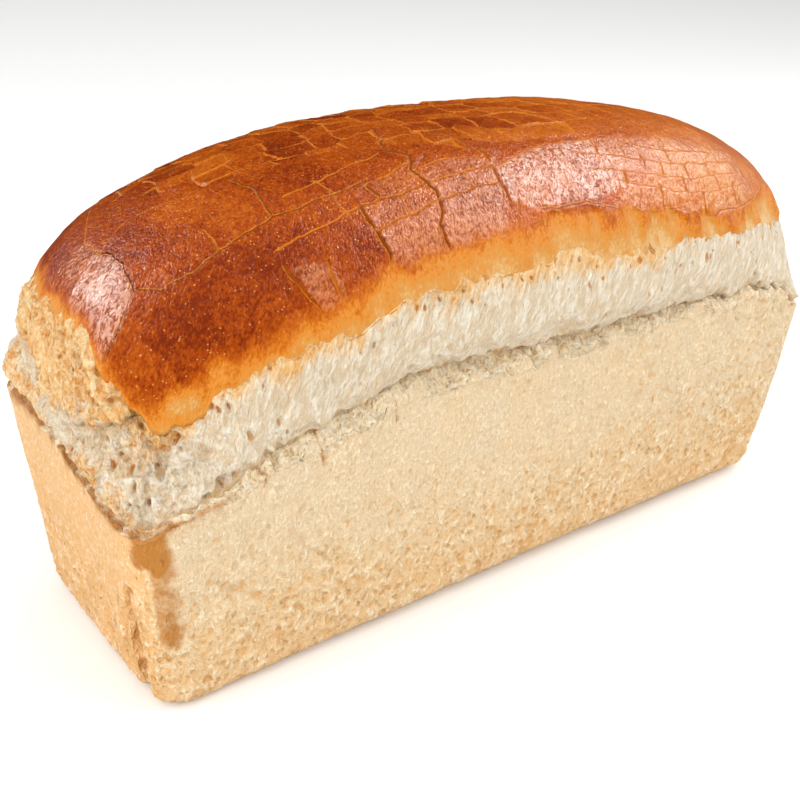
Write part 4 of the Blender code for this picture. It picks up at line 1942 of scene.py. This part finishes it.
    def _settle(self, unrolled: np.ndarray) -> tuple[np.ndarray, dict[str, np.ndarray]]:
        """Find each vertex's nearest crack, and pull the closest vertices onto it.

        Args:
            unrolled: The vertices' unrolled places in millimetres.

        Returns:
            The moved places, and for each vertex what is known of its crack and plate.
        """
        grain = Grain(41)
        bent = grain.warped(grounded(unrolled), 6.0, 0.45, 1)
        bent = grain.warped(bent, 1.8, 0.35, 2)[:, :2]
        near = self.bricks.read(bent, grain)
        near["gap"] = np.where(near["show"] > 0.02, near["gap"], self.nowhere)
        inside = np.stack([bloom.read(bent) for bloom in self.painted_sheen_plates])
        # Painted sheen and painted glints of the plates, and how smooth they are.
        for key, trait in (("bloom", "strength"), ("frost", "frost"), ("sleek", "sleek")):
            shares = np.array([[getattr(bloom, trait)] for bloom in self.painted_sheen_plates])
            near[key] = np.max(inside * shares, axis=0)
        near["step"] = 0.13 * near["show"] * (near["side"] < 0.0)
        pull = np.zeros_like(bent)
        for crack in self.cracks():
            route = np.array(crack.route, float)
            for start, end in zip(route, route[1:]):
                along = end - start
                share = unit((bent - start) @ along / (along @ along))
                away = bent - start - share[:, None] * along
                distance = np.linalg.norm(away, axis=1)
                left = np.where(along[0] * away[:, 1] - along[1] * away[:, 0] > 0.0, 1.0, -1.0)
                nearer = distance < near["gap"]
                pull = np.where(nearer[:, None], -away, pull)
                found = {"gap": distance, "side": distance * left, "show": 1.0,
                         "shade": crack.shade, "step": crack.step * (left < 0.0)}
                for key, value in found.items():
                    near[key] = np.where(nearer, value, near[key])
        close = (near["gap"] < self.snap) & (np.abs(pull).sum(axis=1) > 0.0)
        for key in ("gap", "side"):
            near[key] = np.where(close, 0.0, near[key])
        return unrolled + pull * close[:, None], near

    def _tuck(self, points: np.ndarray, columns: Columns, row: np.ndarray) -> np.ndarray:
        """Turn the rows below the crust's edge in, to close it out of sight.

        Args:
            points: The vertices' places on the dome.
            columns: Their columns.
            row: Their rows, of which those below 0 are hidden.

        Returns:
            The vertices' places.
        """
        out = grounded(columns.out)
        for number, inset, rise in ((-1, 1.5 * MM, 0.5 * MM), (-2, 7 * MM, 3.5 * MM)):
            tucked = points - out * inset + np.array([0.0, 0.0, rise])
            points = np.where((row == number)[:, None], tucked, points)
        level = points - out * 16 * MM
        level[:, 2] = 119 * MM
        return np.where((row == -3)[:, None], level, points)

    def _sculpt(self, piece: bpy.types.Object, columns: Columns, unrolled: np.ndarray,
                above: np.ndarray, near: dict[str, np.ndarray], row: np.ndarray) -> None:
        """Raise plates, cut cracks and flute the margin, and store the colouring.

        Args:
            piece: The shaped piece.
            columns: The vertices' columns.
            unrolled: The vertices' unrolled places in millimetres.
            above: How far above the crust's lower edge each vertex is, in millimetres.
            near: What _settle found of each vertex's crack and plate.
            row: The vertices' rows.
        """
        grain = Grain(45)
        points = read_points(piece)
        normals = read_normals(piece)
        u, v = unrolled.T
        band = self.form.crust_edge(columns) - around(self.glaze_drops, columns.place)
        band = np.maximum(band, self.band_least)
        crisp = bell(u - 40.0, 60.0)
        ragged = 1.5 * grain.wave(points, 6 * MM, 3) + 1.0 * grain.wave(points, 2.4 * MM, 4)
        glazed = ease(0.5 + (above - band + ragged) / mix(7.5, 1.6, crisp))
        gap, shade, show = near["gap"], near["shade"], near["show"]
        curl = self.curl_height * shade * show * np.exp(-gap / self.curl_reach)
        groove = self.groove_depth * show * bell(gap, self.groove_width) * (0.35 + 0.65 * shade)
        step = 0.60 * near["step"] * np.exp(-gap / self.step_reach) * (gap > 0.0)
        fluted = grain.wave(points, (3.0 * MM, 3.0 * MM, 60 * MM), 5)
        fluted += 0.5 * grain.wave(points, (7.0 * MM, 7.0 * MM, 60 * MM), 15)
        relief = (near["lift"] + step + curl - groove) * glazed
        right = onset(u, -10.0, 50.0)
        relief += (0.40 + 1.00 * right) * fluted * (1.0 - glazed) * ease(above / 4.0)
        relief += 0.50 * grain.wave(points, 24 * MM, 6) + 0.30 * grain.rough(points, 8 * MM, 2, 8)
        relief += 0.10 * grain.rough(points, 2.4 * MM, 2, 9)
        relief *= MM * ease((row + 1.0) / 2.0)
        points = self.form.held(points + normals * relief[:, None])
        write_points(piece, points)
        brown = 0.79 + 0.06 * grain.wave(points, 34 * MM, 11)
        brown = brown + 0.08 * grain.wave(points, 12 * MM, 12)
        dusk = bell(u + 118.0, 44.0) * bell(v + 54.0, 14.0)
        lit = onset(u, -5.0, 60.0) * (0.45 + bell(v + 50.0, 16.0))
        plate = bell(u + 115.0, 24.0) * bell(v + 24.0, 13.0)
        brown = brown - 0.07 * plate + 0.17 * dusk - 0.20 * lit + near["bake"]
        brown += onset(v, -40.0, 18.0) * (0.11 - 0.13 * onset(u, -100.0, 80.0))
        faded = ease(1.15 - above / (13.0 + 5.0 * grain.wave(points, 9 * MM, 14)))
        brown -= 0.72 * bell(past_corner(columns.place) - 0.05, 0.075) * faded
        tip = onset(-u, 138.0, 12.0)
        margin = 0.16 + 0.30 * ease(above / band) + 0.08 * onset(-u, 40.0, 50.0)
        margin = margin + 0.16 * tip * grain.wave(points, 6 * MM, 13) + 0.10 * tip
        bake = mix(margin + (0.07 + 0.20 * right) * fluted, brown, glazed)
        side = np.clip(near["side"], -self.crack_reach, self.crack_reach)
        write_attributes(piece, bake=unit(bake), glazed=glazed, crack_near=gap, crack_side=side,
                         crack_show=show, crack_shade=shade, bloom=near["bloom"],
                         frost=near["frost"], sleek=near["sleek"], dull=onset(u, -88.0, 12.0))


@dataclass(frozen=True)
class SoftBox:
    """One broad studio lamp."""

    name: str
    direction: tuple[float, float, float]
    distance: float
    size: tuple[float, float]
    radiance: float
    reach: Reach

    def build(self, target: Vector) -> None:
        """Hang the lamp, facing a point.

        Args:
            target: The point.
        """
        light = bpy.data.lights.new(self.name, "AREA")
        light.shape = "RECTANGLE"
        light.size, light.size_y = self.size
        light.energy = self.radiance * math.pi * self.size[0] * self.size[1]
        lamp = bpy.data.objects.new(self.name, light)
        away = Vector(self.direction).normalized()
        lamp.location = target + away * self.distance
        lamp.rotation_euler = away.to_track_quat("Z", "Y").to_euler()
        lamp.visible_diffuse = self.reach is Reach.MATT
        lamp.visible_glossy = self.reach is Reach.GLOSSY
        bpy.context.scene.collection.objects.link(lamp)


@dataclass
class Studio:
    """Pale floor, soft light and the camera, whose angles are in degrees."""

    azimuth: float = -38.14
    elevation: float = 25.81
    roll: float = 2.56
    distance: float = 0.3929
    slide: tuple[float, float] = (-16.9 * MM, -8.1 * MM)
    focal_share: float = 1.3564
    sensor: float = 36.0
    aim_height: float = 58 * MM
    floor_half: float = 6.0
    floor_colour: Colour = (0.95, 0.945, 0.935)
    cloud_colour: Colour = (0.88, 0.88, 0.88)
    cloud_size: float = 0.3
    air: float = 0.25
    lamps: tuple[SoftBox, ...] = (
        SoftBox("sky_panel", (0.0, 0.0, 1.0), 4.0, (10.0, 10.0), 1.0, Reach.MATT),
        SoftBox("front_panel", (-0.42, -0.74, 0.52), 2.4, (2.6, 1.6), 1.35, Reach.MATT),
        SoftBox("low_panel", (-0.72, -0.66, 0.20), 2.2, (1.8, 0.8), 2.3, Reach.MATT),
        SoftBox("key_panel", (0.66, -0.41, 0.63), 1.25, (1.5, 0.9), 1.55, Reach.MATT),
        SoftBox("end_panel", (-0.90, 0.05, 0.42), 1.6, (1.2, 0.9), 2.7, Reach.MATT),
        SoftBox("sheen_panel", (0.71, -0.36, 0.60), 1.25, (0.95, 0.85), 18.0, Reach.GLOSSY),
        SoftBox("key_core", (0.71, -0.10, 0.69), 1.15, (0.30, 0.24), 88.0, Reach.GLOSSY),
        SoftBox("end_core", (-0.66, 0.49, 0.57), 1.0, (0.36, 0.40), 62.0, Reach.GLOSSY),
    )

    def build(self) -> None:
        """Set up floor, light, camera and colour view."""
        self._floor()
        world = bpy.data.worlds.new("studio_air")
        world.use_nodes = True
        background = world.node_tree.nodes["Background"]
        background.inputs["Color"].default_value = (1.0, 1.0, 1.0, 1.0)
        background.inputs["Strength"].default_value = self.air
        scene = bpy.context.scene
        scene.world = world
        world.cycles_visibility.glossy = False
        target = Vector((0.0, 0.0, self.aim_height))
        for lamp in self.lamps:
            lamp.build(target)
        self._camera(target)
        scene.view_settings.view_transform = "Standard"

    def _floor(self) -> None:
        """Lay the floor."""
        bpy.ops.object.select_all(action="DESELECT")
        bpy.ops.mesh.primitive_plane_add(size=2.0 * self.floor_half, location=(0.0, 0.0, 0.0))
        floor = bpy.context.active_object
        floor.name = "studio_floor"
        floor.visible_glossy = False
        shader = Shader("studio_floor")
        cloud = shader.spread(shader.noise(self.cloud_size, 2.0), 0.3, 0.7, 0.0, 0.04)
        colour = shader.blend(cloud, self.floor_colour, self.cloud_colour)
        floor.data.materials.append(shader.finish(colour, 0.6, Specular_IOR_Level=0.2))

    def _camera(self, target: Vector) -> None:
        """Place the camera.

        Args:
            target: The point that it looks at, before it slides aside.
        """
        turn, lift, lean = (math.radians(angle) for angle in (self.azimuth, self.elevation,
                                                              self.roll))
        back = Vector((math.sin(turn) * math.cos(lift), -math.cos(turn) * math.cos(lift),
                       math.sin(lift)))
        level = Vector((math.cos(turn), math.sin(turn), 0.0))
        upright = back.cross(level)
        right = level * math.cos(lean) + upright * math.sin(lean)
        up = upright * math.cos(lean) - level * math.sin(lean)
        place = Matrix((right, up, back)).transposed().to_4x4()
        aside = right * self.slide[0] + up * self.slide[1]
        place.translation = target + back * self.distance + aside
        lens = bpy.data.cameras.new("camera")
        lens.sensor_width = self.sensor
        lens.lens = self.focal_share * self.sensor
        lens.clip_start = 0.01
        camera = bpy.data.objects.new("camera", lens)
        camera.matrix_world = place
        bpy.context.scene.collection.objects.link(camera)
        bpy.context.scene.camera = camera


def main() -> None:
    """Build the studio and the loaf's pieces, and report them."""
    logging.basicConfig(level=logging.INFO, format="%(message)s")
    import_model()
    form = LoafForm.from_frame(*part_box(NODE))
    Studio().build()
    for maker in (TinWalls(form), TornCrumb(form), GlazedCrust(form)):
        piece = maker.build()
        LOG.info("%s: %d faces", piece.name, len(piece.data.polygons))


if __name__ == "__main__":
    main()
